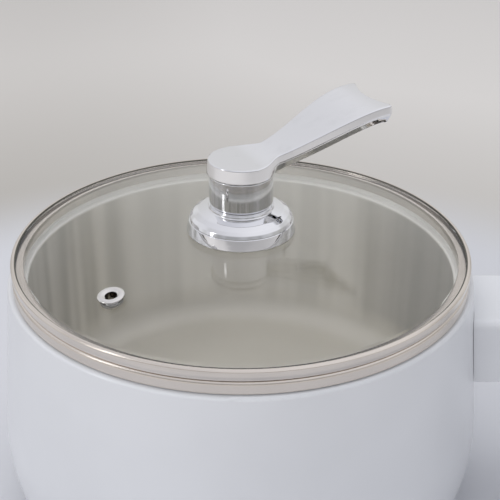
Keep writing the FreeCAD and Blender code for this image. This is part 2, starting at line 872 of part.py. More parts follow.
def power_inlet():
    """Inlet housing: flange on the drum, body through its window and a recess for the connector."""
    face = inlet_face_y()
    back = face - inlet_socket_depth - inlet_body_wall * 1.5
    flange = radial_prism(inlet_half_width, inlet_half_height, inlet_z, wall_inner, face)
    flange = flange.makeFillet(inlet_round, [e for e in flange.Edges
                                             if abs(e.BoundBox.YLength - (face - wall_inner)) < 1e-4])
    flange = flange.makeChamfer(0.6, [e for e in flange.Edges if abs(e.BoundBox.YMin - face) < 1e-4])
    flange = flange.cut(drum(-seat_gap, shell_top_z, shell_bottom_z))
    core = radial_prism(inlet_socket_half_width + inlet_body_wall,
                        inlet_socket_half_height + inlet_body_wall, inlet_z, back, face - 1.0)
    recess = socket_outline(inlet_socket_half_width, inlet_socket_half_height,
                            inlet_socket_chamfer, face + 1.0)
    body = flange.fuse(core)
    body = body.cut(recess.extrude(Vector(0, -inlet_socket_depth - 1.0, 0)))
    for x, z in pin_places():
        body = body.cut(pin_block(x, z, back - 1.0, face, face_gap))
    return body.removeSplitter()


def pin_places():
    side = pin_spacing / 2.0
    return [(-side, inlet_z - pin_offset), (side, inlet_z - pin_offset), (0.0, inlet_z + pin_offset)]


def pin_block(x, z, y0, y1, extra):
    half_x = pin_width / 2.0 + extra
    half_z = pin_height / 2.0 + extra
    return block(x - half_x, x + half_x, y0, y1, z - half_z, z + half_z)


def inlet_pins():
    """Three blades, with their soldering tails behind the housing."""
    face = inlet_face_y()
    tail = face - inlet_socket_depth - inlet_body_wall * 1.5 - pin_tail
    pins = []
    for x, z in pin_places():
        pin = pin_block(x, z, tail, face - pin_recess, 0.0)
        pins.append(pin.makeChamfer(0.4, [e for e in pin.Edges
                                          if abs(e.BoundBox.YMin - face + pin_recess) < 1e-4]))
    return Part.makeCompound(pins)


# Internal leads


def ring_point(azimuth_deg, z, radius):
    angle = math.radians(azimuth_deg)
    return (radius * math.cos(angle), radius * math.sin(angle), z)


def inlet_tail(index):
    x, z = pin_places()[index]
    back = inlet_face_y() - inlet_socket_depth - inlet_body_wall * 1.5 - pin_tail
    return (x, back - seat_gap, z)


def switch_tab(side):
    middle = switch_front_y() + switch_depth / 2.0
    return (side * switch_tab_pitch, middle, dial_z - switch_half_width - switch_tab_length - seat_gap)


def element_pin(side):
    """Side of a turned-down element end, where a lead meets it square."""
    z = plate_bottom_z + element_depth - element_radius - element_pin_drop * 0.75
    return ring_point(side * element_gap_deg / 2.0, z, element_ring_radius + element_radius + seat_gap)


def blade_edge(side):
    z = plate_bottom_z - face_gap - thermostat_height - thermostat_blade * 0.5
    return (side * thermostat_radius * 0.55, side * (3.0 + seat_gap), z)


def fuse_end(side):
    return (-fuse_offset, side * (fuse_length + seat_gap), plate_bottom_z - fuse_radius - seat_gap)


def moved(point, dx, dy, dz):
    return (point[0] + dx, point[1] + dy, point[2] + dz)


def live_lead():
    """From the inlet round the drum's left side to the dial's switch."""
    tail = inlet_tail(0)
    tab = switch_tab(-1)
    steps = [ring_point(angle, lead_z, lead_ring_radius) for angle in (122, 145, 168, 191, 214, 237)]
    start = [tail, moved(tail, 0, -7, 0), moved(tail, -14, -6, 3), ring_point(113.5, lead_z, lead_ring_radius - 8.7)]
    end = [ring_point(-110.0, dial_z - 14.0, lead_ring_radius - 3.7), moved(tab, -13, 4, -4), moved(tab, 0, 0, -7.5), tab]
    return bent_rod(start + steps + end, lead_radius)


def element_lead():
    """From the dial's switch round the drum's right side to the element."""
    tab = switch_tab(1)
    pin = element_pin(-1)
    out = ring_point(-element_gap_deg / 2.0, pin[2], lead_ring_radius - 22.0)
    start = [tab, moved(tab, 0, 0, -7.5), moved(tab, 13, 4, -4),
             ring_point(-70.0, dial_z - 14.0, lead_ring_radius - 3.7)]
    steps = [ring_point(angle, lead_z, lead_ring_radius) for angle in (-52, -34)]
    return bent_rod(start + steps + [out, pin], lead_radius)


def neutral_lead():
    """From the inlet over the shield to the thermostat."""
    tail = inlet_tail(1)
    blade = blade_edge(1)
    return bent_rod([tail, moved(tail, 0, -8, 0), (13.0, 66.0, 24.0), (14.0, 40.0, 22.0),
                     moved(blade, 4, 14, 0), blade], lead_radius)


def link_leads():
    """From the thermostat to the fuse, and from the fuse to the element."""
    blade = blade_edge(-1)
    near = fuse_end(-1)
    far = fuse_end(1)
    pin = element_pin(1)
    first = bent_rod([blade, moved(blade, 0, -10, 0), (-14.0, -26.0, 24.0), moved(near, 0, -11, -1),
                      near], lead_radius)
    out = ring_point(element_gap_deg / 2.0, pin[2], element_ring_radius + 13.0)
    second = bent_rod([far, moved(far, 0, 9, 0), (-12.0, 28.0, 25.0), (22.0, 27.0, 23.0),
                       ring_point(38.0, 22.0, element_ring_radius - 3.6),
                       ring_point(30.7, 22.0, element_ring_radius + 12.4), out, pin], lead_radius)
    return Part.makeCompound([first, second])


def earth_lead():
    """From the inlet's middle blade up to the underside of the plate."""
    tail = inlet_tail(2)
    seat = (-22.0, 64.0, plate_bottom_z - face_gap)
    return bent_rod([tail, moved(tail, 0, -8, 0), moved(tail, -12, -20, -4), moved(seat, 0, 0, -9),
                     seat], lead_radius)


# Lid


def lens_solid(top_radius, centre_z, reach):
    """Part of a ball above a level, out to a radius, for cutting faces that follow the dome."""
    ball = Part.makeSphere(top_radius, Vector(0, 0, centre_z))
    return ball.common(disc(reach, rim_bottom_z - 60.0, glass_crown_z + 20.0))


def vent_frame(shape):
    """Moves a shape from the origin to the vent, square to the glass."""
    tilt = math.degrees(math.asin(vent_distance / dome_radius))
    placed = shape.copy()
    placed.rotate(Vector(0, 0, 0), Vector(0, 1, 0), tilt)
    placed.translate(Vector(vent_distance, 0, glass_top(vent_distance)))
    placed.rotate(Vector(0, 0, 0), Vector(0, 0, 1), vent_azimuth_deg)
    return placed


def glass_lid():
    """Domed disc of even thickness with a flat edge, a centre hole and a vent hole."""
    edge = glass_edge_radius
    flat = glass_flat_radius
    top = glass_top_edge_z
    bottom = top - glass_thickness
    arris = 0.5
    mid = flat / 2.0
    mid_under = glass_top(mid) - glass_thickness
    body = turned(
        (0, glass_crown_z),
        ((mid, glass_top(mid)), (flat, top)),
        (edge - arris, top),
        (edge, top - arris),
        (edge, bottom + arris),
        (edge - arris, bottom),
        (flat, bottom),
        ((mid, mid_under), (0, glass_crown_z - glass_thickness)),
    )
    body = body.cut(disc(glass_bore, bottom, glass_crown_z + 5.0))
    hole = Part.makeCylinder(vent_tube_radius + seat_gap, 30.0, Vector(0, 0, -15.0))
    return body.cut(vent_frame(hole))


def lid_rim():
    """Rolled steel ring that grips the glass's edge, with a locating skirt."""
    top = rim_top_z
    bottom = rim_bottom_z
    outer = lid_radius
    corner = rim_corner
    diagonal = 1.0 - math.sqrt(0.5)
    glass_pocket = glass_edge_radius + seat_gap
    skirt_outer = rim_skirt_radius
    skirt_inner = skirt_outer - rim_sheet
    skirt_bottom = bottom - rim_skirt_drop
    return turned(
        (rim_lip_radius, top - rim_sheet),
        (rim_lip_radius + 0.25, top - rim_sheet * 0.25),
        (rim_lip_radius + rim_sheet, top),
        (outer - corner, top),
        ((outer - corner * diagonal, top - corner * diagonal), (outer, top - corner)),
        (outer, top - rim_height * 0.6),
        (rim_bottom_radius, bottom),
        (skirt_outer, bottom),
        (skirt_outer, skirt_bottom),
        (skirt_inner, skirt_bottom),
        (skirt_inner, bottom + rim_sheet - face_gap),
        (glass_pocket, bottom + rim_sheet - face_gap),
        (glass_pocket, top - rim_sheet),
    )


def vent_eyelet():
    """Flanged steam vent: a rounded flange over the glass and a tube through it."""
    outer = vent_flange_radius
    height = vent_flange_height
    bore = vent_bore_radius
    shank = vent_tube_radius
    foot = -glass_thickness - vent_washer_height - 1.4
    body = turned(
        (bore, foot),
        (shank, foot),
        (shank, seat_gap),
        (outer - 0.3, seat_gap),
        ((outer - 0.1, height * 0.55), (outer - 1.6, height)),
        (bore + 1.2, height),
        ((bore + 0.35, height * 0.85), (bore, height * 0.4)),
    )
    return vent_frame(body)


def vent_washer():
    """Clamping ring on the eyelet's tube under the glass."""
    top = -glass_thickness - seat_gap
    body = tube(vent_washer_radius, vent_tube_radius + seat_gap, top - vent_washer_height, top)
    body = body.makeChamfer(0.3, [e for e in body.Edges
                                  if abs(e.BoundBox.ZMax - top + vent_washer_height) < 1e-4])
    return vent_frame(body)


# Lid knob


def knob_bottom_z():
    return glass_top(knob_base_radius) + seat_gap


def knob_neck_top_z():
    return knob_bottom_z() + knob_base_band + knob_dome_height + knob_neck_height


def stem_bottom_z():
    return knob_neck_top_z() + knob_groove


def head_bottom_z():
    return stem_bottom_z() + stem_height + head_gap


def head_top_z():
    return head_bottom_z() + head_height


def knob_base():
    """Domed flange with a short neck, hollow below for the gasket."""
    bottom = knob_bottom_z()
    crease_r = knob_base_radius - knob_base_draft
    crease_z = bottom + knob_base_band
    dome_top = crease_z + knob_dome_height
    neck_foot = knob_neck_radius + knob_neck_flare
    neck_top = knob_neck_top_z()
    shoulder = ((neck_foot + crease_r) / 2.0 + 1.5, crease_z + knob_dome_height * 0.72)
    body = turned(
        (0, bottom - 3.0),
        (knob_base_radius, bottom - 3.0),
        (knob_base_radius, bottom),
        (crease_r, crease_z),
        (shoulder, (neck_foot, dome_top)),
        ((knob_neck_radius + knob_neck_flare * 0.3, dome_top + knob_neck_height * 0.35),
         (knob_neck_radius, neck_top)),
        (knob_groove_radius, neck_top),
        (knob_groove_radius, neck_top + knob_groove - face_gap),
        (0, neck_top + knob_groove - face_gap),
    )
    dome = lens_solid(dome_radius + seat_gap, dome_centre_z, knob_base_radius + 5.0)
    pocket_top = glass_top(0.0) + knob_gasket_thickness + face_gap
    pocket = disc(knob_gasket_radius + seat_gap, bottom - 3.0, pocket_top)
    body = body.cut(dome).cut(pocket)
    return body.cut(disc(knob_boss_radius + seat_gap, bottom - 5.0, neck_top + 5.0)).removeSplitter()


def knob_gasket():
    """Silicone washer between flange and glass, shaped to the dome below."""
    top = glass_top(0.0) + knob_gasket_thickness
    body = tube(knob_gasket_radius, knob_boss_radius + seat_gap, top - 4.0, top)
    dome = lens_solid(dome_radius + seat_gap / 2.0, dome_centre_z, knob_gasket_radius + 5.0)
    return body.cut(dome)


def knob_stem():
    """Short column with a rounded foot, round the knob's boss."""
    bottom = stem_bottom_z()
    top = bottom + stem_height
    foot = stem_foot_round
    diagonal = 1.0 - math.sqrt(0.5)
    bore = knob_boss_radius + seat_gap
    return turned(
        (bore, bottom),
        (stem_radius - foot, bottom),
        ((stem_radius - foot * diagonal, bottom + foot * diagonal), (stem_radius, bottom + foot)),
        (stem_radius, top - 0.4),
        (stem_radius - 0.4, top),
        (bore, top),
    )


def climb(s, start, end):
    """Share of the arm's rise gained by a distance from the axis: level, a climb and level again."""
    share = min(1.0, max(0.0, (s - start) / (end - start)))
    return 3.0 * share ** 2 - 2.0 * share ** 3


def arm_half_width(share):
    """Half width of the arm: a narrow neck that flares to the tail."""
    swell = math.sin(min(1.0, share / 0.86) * math.pi / 2.0) ** 1.6
    return arm_neck_half + (arm_tail_half - arm_neck_half) * swell


def arm_section(s, inset):
    """Six-sided closed section square to the arm, with a ridge at mid height."""
    top = head_top_z() + arm_rise * climb(s, 2.0, arm_reach - 2.0)
    under_rise = arm_rise - (arm_thickness - head_height)
    bottom = head_bottom_z() + under_rise * climb(s, 5.0, arm_reach - 2.0)
    reach = arm_blend_reach
    half = arm_half_width(max(0.0, (s - reach) / (arm_reach - reach)))
    half += (arm_blend_half - arm_neck_half) * (max(0.0, reach - s) / reach) ** 2
    if inset:
        points = [(half - arm_undercut - inset + 1.0, top - inset),
                  (half - arm_undercut - inset, bottom - 3.0)]
    else:
        points = [(half, top), (half + arm_side_bulge, (top + bottom) / 2.0),
                  (half - arm_undercut, bottom)]
    mirrored = [(-w, z) for w, z in reversed(points)]
    corners = [Vector(s, w, z) for w, z in points + mirrored]
    return Part.makePolygon(corners + [corners[0]])


def knob_arm():
    """Round head with a fishtail arm that climbs away from it, hollow below, and a screw boss."""
    stations = [0.0, 8.0, 14.0, 24.0, 34.0, 44.0, 54.0, 64.0, arm_reach + 4.0]
    arm = Part.makeLoft([arm_section(s, 0.0) for s in stations], True, False)
    chord_half = arm_tail_half
    end_radius = (chord_half ** 2 + arm_end_sag ** 2) / (2.0 * arm_end_sag)
    end_centre = arm_reach - arm_end_sag + end_radius
    low = head_bottom_z() - 10.0
    high = head_top_z() + arm_rise + 10.0
    arm = arm.cut(disc(end_radius, low, high, end_centre, 0))
    recess_stations = [22.0, 34.0, 44.0, 54.0, 64.0, arm_reach + 4.0]
    recess = Part.makeLoft([arm_section(s, arm_wall) for s in recess_stations], True, False)
    recess = recess.cut(disc(end_radius + arm_wall, low, high, end_centre, 0))
    recess = recess.cut(disc(head_radius + arm_wall, low, high))
    arm = arm.cut(recess)
    head = disc(head_radius, head_bottom_z(), head_top_z())
    head = rounded(head, arm_edge_round, at_height(head_top_z()))
    undercut = block(-40.0, 0.0, -40.0, 40.0, head_bottom_z() - 20.0, head_bottom_z())
    undercut.rotate(Vector(0, 0, head_bottom_z()), Vector(0, 1, 0), head_undercut_deg)
    head = head.cut(undercut)
    body = head.fuse(arm)
    boss = disc(knob_boss_radius, glass_top(0.0) + 1.0, head_bottom_z() + 3.0)
    body = body.fuse(boss)
    bore_top = glass_top(0.0) + 22.0
    body = body.cut(disc(screw_radius, glass_top(0.0), bore_top)).removeSplitter()
    body.rotate(Vector(0, 0, 0), Vector(0, 0, 1), arm_azimuth_deg)
    return body


def glass_under_z():
    return glass_crown_z - glass_thickness


def knob_washer():
    """Washer under the glass, shaped to the dome above it."""
    top = glass_under_z() + 1.0
    bottom = glass_under_z() - knob_washer_thickness - seat_gap
    body = tube(knob_washer_radius, screw_radius + screw_gap, bottom, top)
    slab = disc(knob_washer_radius + 5.0, bottom - 1.0, top + 1.0)
    dome = lens_solid(dome_radius - seat_gap, dome_centre_z - glass_thickness, knob_washer_radius + 5.0)
    return body.cut(slab.cut(dome))


def knob_screw():
    """Screw from below the glass up into the knob's boss."""
    head_z = glass_under_z() - knob_washer_thickness - seat_gap - face_gap
    length = glass_top(0.0) + 19.0 - head_z
    screw = pan_screw(screw_head_radius, screw_head_height, screw_radius - seat_gap / 2.0, length)
    screw.translate(Vector(0, 0, head_z))
    return screw


# Handle


def handle_root_x():
    return shell_radius(handle_top_z - handle_depth)


def handle_plan(inset):
    """Handle's outline from above: straight at the pot, tapered behind, with round corners."""
    start = wall_inner
    end = handle_root_x() + handle_length - inset
    straight = handle_root_x() + handle_straight
    half = handle_half_width - inset
    end_half = handle_end_half_width - inset
    corner = handle_end_round - inset
    diagonal = 1.0 - math.sqrt(0.5)
    near = end - corner
    bow = end - corner * diagonal
    side = end_half - corner
    shoulder = end_half - corner * diagonal
    edges = [
        Part.makeLine(Vector(start, -half, 0), Vector(straight, -half, 0)),
        Part.makeLine(Vector(straight, -half, 0), Vector(near, -end_half, 0)),
        Part.Arc(Vector(near, -end_half, 0), Vector(bow, -shoulder, 0), Vector(end, -side, 0)).toShape(),
        Part.makeLine(Vector(end, -side, 0), Vector(end, side, 0)),
        Part.Arc(Vector(end, side, 0), Vector(bow, shoulder, 0), Vector(near, end_half, 0)).toShape(),
        Part.makeLine(Vector(near, end_half, 0), Vector(straight, half, 0)),
        Part.makeLine(Vector(straight, half, 0), Vector(start, half, 0)),
        Part.makeLine(Vector(start, half, 0), Vector(start, -half, 0)),
    ]
    return Part.Face(Part.Wire(edges)).extrude(Vector(0, 0, 200.0))


def handle_side(lift, drop):
    """Handle's outline from the side, its lower line lifted and its top face dropped."""
    start = wall_inner
    end = handle_root_x() + handle_length + 5.0
    straight = handle_root_x() + handle_straight
    top = handle_top_z - drop
    bottom = handle_top_z - handle_depth + lift
    end_bottom = handle_top_z - handle_end_depth + lift
    rise_radius = ((end - straight) ** 2 + (end_bottom - bottom) ** 2) / (2.0 * (end_bottom - bottom))
    middle = (straight + end) / 2.0
    sag = bottom + rise_radius - math.sqrt(rise_radius ** 2 - (middle - straight) ** 2)
    lower = Part.Arc(Vector(straight, 0, bottom), Vector(middle, 0, sag), Vector(end, 0, end_bottom))
    outline_wire = Part.Wire([
        Part.makeLine(Vector(start, 0, bottom), Vector(straight, 0, bottom)),
        lower.toShape(),
        Part.makeLine(Vector(end, 0, end_bottom), Vector(end, 0, top)),
        Part.makeLine(Vector(end, 0, top), Vector(start, 0, top)),
        Part.makeLine(Vector(start, 0, top), Vector(start, 0, bottom)),
    ])
    side = Part.Face(outline_wire).extrude(Vector(0, 100.0, 0))
    side.translate(Vector(0, -50.0, 0))
    return side


def handle_solid(inset, lift, drop):
    """Plan outline moved in by an inset, between a lifted lower line and a dropped top."""
    return handle_plan(inset).common(handle_side(lift, drop))


def cover_region(grow):
    """Space that the handle's cover fills, grown by a clearance."""
    inset = handle_wall / 2.0 - grow
    whole = handle_solid(inset, 0.0, handle_wall)
    return whole.cut(handle_side(handle_cover_thickness + grow, 0.0))


def rib_places():
    """Positions of the ribs along the handle, from the end of its straight part."""
    first = handle_root_x() + handle_straight
    count = int((handle_length - handle_straight - handle_end_round) / handle_rib_pitch) + 1
    return [first + i * handle_rib_pitch for i in range(count)]


def cover_screw_places():
    """One screw near the pot, clear of the first rib, and one midway between the last two ribs."""
    ribs = rib_places()
    near = ribs[0] - handle_boss_radius - 6.0
    far = ribs[-1] - (handle_rib_pitch - handle_rib) / 2.0
    return [(near, 0.0), (far, 0.0)]


def handle_shell():
    """Upper handle: top, sides and root wall, open below, with ribs and screw bosses."""
    body = handle_solid(0.0, 0.0, 0.0)
    body = rounded(body, handle_edge_round, at_height(handle_top_z))
    root_wall = drum(-seat_gap - handle_wall * 1.6, shell_top_z, shell_bottom_z)
    body = body.cut(handle_solid(handle_wall, -1.0, handle_wall).cut(root_wall))
    root = handle_root_x()
    boss_end = root + 18.0
    ceiling = handle_top_z - handle_wall / 2.0
    for y, z in handle_screw_places():
        boss = Part.makeCylinder(4.6, boss_end - wall_inner, Vector(wall_inner, y, z), Vector(1, 0, 0))
        web = block(wall_inner, boss_end, y - handle_rib / 2.0, y + handle_rib / 2.0, z, ceiling)
        body = body.fuse(boss).fuse(web)
    core = handle_solid(handle_wall / 2.0, 0.0, handle_wall / 2.0)
    for x in rib_places():
        rib = block(x, x + handle_rib, -40.0, 40.0, handle_top_z - 14.0, ceiling)
        body = body.fuse(rib.common(core))
    for x, y in cover_screw_places():
        bottom = handle_cover_top(x)
        body = body.fuse(disc(handle_boss_radius, bottom - handle_cover_thickness / 2.0, ceiling, x, y))
        body = body.cut(disc(small_screw_radius, bottom - 1.0, bottom + small_screw_grip, x, y))
    body = body.cut(cover_region(seat_gap))
    body = body.cut(drum(-seat_gap, shell_top_z, shell_bottom_z))
    for y, z in handle_screw_places():
        body = body.cut(Part.makeCylinder(screw_radius, boss_end - 3.0 - wall_inner,
                                          Vector(wall_inner, y, z), Vector(1, 0, 0)))
    return body.removeSplitter()


def handle_cover_top(x):
    """Height of the cover's inner face at a distance along the handle."""
    probe = cover_region(0.0).common(block(x - 0.5, x + 0.5, -1.0, 1.0, 0.0, 200.0))
    return probe.BoundBox.ZMax


def handle_cover():
    """Lower handle cover, set into the shell's open side."""
    body = cover_region(0.0)
    body = body.cut(drum(-seat_gap - handle_wall * 0.8, shell_top_z, shell_bottom_z))
    for x, y in cover_screw_places():
        top = handle_cover_top(x)
        body = body.cut(disc(small_screw_radius + screw_gap, 0.0, top + 5.0, x, y))
        body = body.cut(disc(small_head_radius + screw_gap, 0.0, top - 1.2, x, y))
    return body.removeSplitter()


def cover_screws():
    copies = []
    for x, y in cover_screw_places():
        screw = pan_screw(small_head_radius, small_head_height, small_screw_radius - seat_gap, 9.0)
        screw.translate(Vector(x, y, handle_cover_top(x) - 1.2 - face_gap))
        copies.append(screw)
    return Part.makeCompound(copies)


def handle_plate():
    """Curved backing plate inside the shell, behind the handle's screws."""
    middle = handle_top_z - handle_depth / 2.0
    half = handle_plate_height / 2.0
    slab = block(80.0, 140.0, -handle_plate_half_width, handle_plate_half_width,
                 middle - half, middle + half)
    slab = slab.makeFillet(3.0, [e for e in slab.Edges if abs(e.BoundBox.XLength - 60.0) < 1e-4])
    inner = shell_wall + seat_gap
    body = slab.common(drum(inner, shell_top_z, shell_bottom_z))
    body = body.cut(drum(inner + handle_plate_thickness, shell_top_z, shell_bottom_z))
    for y, z in handle_screw_places():
        body = body.cut(Part.makeCylinder(screw_radius + screw_gap, 60.0, Vector(80.0, y, z),
                                          Vector(1, 0, 0)))
    return body


def handle_screws():
    """Screws from inside the shell into the handle's bosses."""
    copies = []
    for y, z in handle_screw_places():
        radial = math.sqrt((shell_radius(z) - shell_wall - handle_plate_thickness) ** 2 - y ** 2)
        head_x = radial - 2.2
        screw = pan_screw(screw_head_radius, screw_head_height, screw_radius - seat_gap / 2.0, 22.0)
        screw.rotate(Vector(0, 0, 0), Vector(0, 1, 0), 90)
        screw.translate(Vector(head_x, y, z))
        copies.append(screw)
    return Part.makeCompound(copies)


nodes = {
    "inner_pot": inner_pot,
    "rim_seal": rim_seal,
    "outer_shell": outer_shell,
    "base_cover": base_cover,
    "base_screws": base_screws,
    "foot_ring": foot_ring,
    "heating_plate": heating_plate,
    "heating_element": heating_element,
    "heat_shield": heat_shield,
    "tie_posts": tie_posts,
    "shield_nuts": shield_nuts,
    "tie_screws": tie_screws,
    "thermostat": thermostat,
    "thermostat_bracket": thermostat_bracket,
    "bracket_screws": bracket_screws,
    "thermal_fuse": thermal_fuse,
    "fuse_clip": fuse_clip,
    "control_bezel": control_bezel,
    "rotary_switch": rotary_switch,
    "switch_nut": switch_nut,
    "switch_shaft": switch_shaft,
    "control_knob": control_knob,
    "indicator_lens": indicator_lens,
    "indicator_lamp": indicator_lamp,
    "power_inlet": power_inlet,
    "inlet_pins": inlet_pins,
    "live_lead": live_lead,
    "element_lead": element_lead,
    "neutral_lead": neutral_lead,
    "link_leads": link_leads,
    "earth_lead": earth_lead,
    "handle_shell": handle_shell,
    "handle_cover": handle_cover,
    "cover_screws": cover_screws,
    "handle_plate": handle_plate,
    "handle_screws": handle_screws,
    "glass_lid": glass_lid,
    "lid_rim": lid_rim,
    "vent_eyelet": vent_eyelet,
    "vent_washer": vent_washer,
    "knob_base": knob_base,
    "knob_gasket": knob_gasket,
    "knob_stem": knob_stem,
    "knob_arm": knob_arm,
    "knob_washer": knob_washer,
    "knob_screw": knob_screw,
}

os.makedirs("parts", exist_ok=True)
for name, build in nodes.items():
    shape = build()
    if not shape.isValid():
        print("not valid:", name)
    print(f"{name:20s} solids {len(shape.Solids)}  volume {shape.Volume:10.1f}")
    shape.exportStep(f"parts/{name}.step")
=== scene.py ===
import json
import math

import bmesh
import bpy
from mathutils import Matrix, Vector


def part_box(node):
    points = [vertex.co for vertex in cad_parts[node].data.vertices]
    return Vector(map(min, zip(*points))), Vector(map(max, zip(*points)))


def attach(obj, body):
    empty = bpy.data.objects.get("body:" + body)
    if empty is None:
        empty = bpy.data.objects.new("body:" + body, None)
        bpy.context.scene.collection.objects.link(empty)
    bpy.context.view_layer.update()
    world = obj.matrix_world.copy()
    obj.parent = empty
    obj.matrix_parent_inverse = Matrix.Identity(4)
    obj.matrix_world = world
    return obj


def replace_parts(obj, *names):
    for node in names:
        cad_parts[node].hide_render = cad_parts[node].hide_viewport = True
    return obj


# Electric hot pot with a lift-off glass lid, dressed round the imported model. Metres, +Z up,
# origin on the table under the middle of the pot, handle along +X, dial on -Y, inlet on +Y.

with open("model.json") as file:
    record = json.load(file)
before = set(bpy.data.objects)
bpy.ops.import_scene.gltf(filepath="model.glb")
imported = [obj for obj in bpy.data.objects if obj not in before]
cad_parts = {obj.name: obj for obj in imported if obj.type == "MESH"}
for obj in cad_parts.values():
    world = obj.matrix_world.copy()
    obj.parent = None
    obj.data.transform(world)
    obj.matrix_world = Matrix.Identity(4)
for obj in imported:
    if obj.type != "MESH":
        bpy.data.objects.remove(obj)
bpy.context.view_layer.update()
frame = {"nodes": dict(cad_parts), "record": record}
NODES = frame["nodes"]
MM = 0.001


def levels(low, high):
    """Heights of a box's bottom and top, in millimetres."""
    return low.z / MM, high.z / MM


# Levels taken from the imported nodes, in millimetres
POT_BOTTOM, POT_TOP = levels(*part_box("inner_pot"))
COLLAR_BOTTOM, COLLAR_TOP = levels(*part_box("knob_base"))
POST_BOTTOM, POST_TOP = levels(*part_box("knob_stem"))
RING_TOP = levels(*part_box("lid_rim"))[1]
LEVER_TOP = levels(*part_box("knob_arm"))[1]
GLASS_TOP = levels(*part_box("glass_lid"))[1]

# Power dial, in metres
BEZEL_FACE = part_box("control_bezel")[0].y
DIAL_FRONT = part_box("control_knob")[0].y
DIAL_HEIGHT = 38.0 * MM
SCALE_CIRCLE = 22.9 * MM
NUMERAL_SIZE = 4.8 * MM
NUMERAL_RELIEF = 0.05 * MM
NUMERAL_LIFT = 0.04 * MM

# Camera, lamps and floor: places in metres, the lens in millimetres, turns in radians
CAMERA_PLACE = Vector((4.29 * MM, -515.3 * MM, 401.7 * MM))
CAMERA_TILT = math.radians(62.50)
CAMERA_ROLL = 0.00523
CAMERA_LENS = 86.4
LAMP_AIM = Vector((0.0, 0.0, 0.1))
FLOOR_REACH = 12.0
FLOOR_DROP = 0.3 * MM
# Inner and outer edge of the floor's painted pool of light, in metres from the axis
LIGHT_POOL_EDGE = (0.29, 0.41)

# Turned pieces: steps round the axis, steps in a bend, and a guard point's distance from it
TURN_STEPS = 192
RING_TURN_STEPS = 256
POST_TURN_STEPS = 128
VENT_TURN_STEPS = 72
BOSS_TURN_STEPS = 48
BEND_STEPS = 5
FINE_BEND_STEPS = 8
POST_BEND_STEPS = 10
WASHER_BEND_STEPS = 4
GUARD = 0.12 * MM
TINY = 1e-7

# Pot, in millimetres
POT_RIM = 109.8
POT_STEP = 105.2
POT_INNER = 102.0
POT_SHEET = 0.8
POT_CORNER = 16.0
LEDGE_DROP = 6.7
HEM_DROP = 5.9

# Lid ring, in millimetres
RING_OUTER = 110.0
RING_SKIRT = 104.4
RING_INSIDE = 108.98
RING_SHEET = 0.7
RING_WALL = 5.4
SKIRT_DROP = 4.2
# Radius of the painted shadow line at the ring's lip
LIP_LINE = 108.3

# Lid lever: lengths in millimetres, shares of the way along or down it, and counts of steps
HEAD_RADIUS = 16.1
HEAD_HEIGHT = 6.7
HEAD_TAPER = 0.45
HEAD_TAPER_TURN = 1.7
HEAD_BLEND = 3.6
SHOULDER = math.radians(45.0)
ARM_REACH = 71.8
ARM_RISE = 20.3
ARM_START = 14.0
ARM_THICKNESS = 8.3
ARM_TURN = math.radians(26.8)
ARM_ROWS = 96
ARM_COLUMNS = 24
CLIMB_START = 2.0
LOW_CLIMB_START = 6.5
NECK_HALF = 9.6
NECK_FILLET = 5.6
TAIL_HALF = 17.9
TAIL_SAG = 4.9
SAG_START = 0.45
SWELL_END = 0.86
SWELL_POWER = 1.6
NOSE_END = 0.14
HORN_REACH = 2.8
HORN_MARGIN = 1.0
HORN_PULL = 0.5
HORN_PASSES = 14
ARM_RIDGE = 0.45
ARM_UNDERCUT = 1.8
CREASE = 0.5
GROOVE_DEPTH = 0.35
GROOVE_HALF = 0.035
SIDE_START, SIDE_END = 6.0, 24.0
SIDE_LEVELS = (0.14, 0.30, 0.42, 0.465, 0.50, 0.535, 0.58, 0.75, 0.93)
EDGE_ROUND = 0.5
EDGE_STEPS = 4
EDGE_END = 0.06
LOWER_LIP = ((0.05, 0.12), (0.30, 0.0), (1.50, 0.0))
HOLLOW_START, HOLLOW_END = 18.0, 22.0
HOLLOW_WALL = ((1.70, 0.05), (1.85, 0.9), (2.35, 1.0))
ROOF = 2.0
HEAD_TOP = LEVER_TOP - ARM_RISE
HEAD_FOOT = HEAD_TOP - HEAD_HEIGHT

# Steam vent, in millimetres
VENT_DISTANCE = 80.0
VENT_AZIMUTH = math.radians(224.8)
VENT_BORE = 2.7
VENT_MOUTH = 0.5
GLASS_REACH = 104.0
GLASS_RISE = 11.1

# Zones of the pot's finish: where each one starts and where it is full, in millimetres
INSIDE_ZONE = (POT_STEP + 1.0, POT_STEP + 0.4)
LEDGE_ZONE = (POT_TOP - 8.5, POT_TOP - 6.5)
WALL_ZONE = (POT_BOTTOM + 6.0, POT_BOTTOM + 24.0)
# Painted shade: where the wall is darkened on its right and on its left
RIGHT_ZONE = (42.0, 98.0)
LEFT_ZONE = (-78.0, -102.0)
# Painted light: where the far wall is made paler
FAR_ZONE = (55.0, 100.0)

# Colours
WHITE = (0.675, 0.685, 0.715)
CHROME = (0.86, 0.865, 0.89)
WARM_CHROME = (0.79, 0.775, 0.755)
NICKEL = (0.80, 0.74, 0.68)
WALL_STEEL = (0.84, 0.81, 0.735)
# Painted shade for the pot wall's right and left sides
PAINTED_SHADE_STEEL = (0.30, 0.295, 0.27)
# Painted light for the pot's far wall
PAINTED_LIGHT_STEEL = (0.985, 0.98, 0.955)
LEDGE_STEEL = (0.95, 0.945, 0.92)
# Painted reflection: the darker colour of the streaks down the pot's wall
REFLECTION_STREAK_SHADE = (0.46, 0.45, 0.38)
# Painted shade: the dark inside of the steam vent's bore
VENT_BORE_SHADE = (0.045, 0.036, 0.030)
# Painted shadow: the dark line inside the lid ring's lip
LIP_SHADE = (0.085, 0.085, 0.070)
AMBER = (0.80, 0.24, 0.02)
PALE_AMBER = (0.95, 0.42, 0.05)
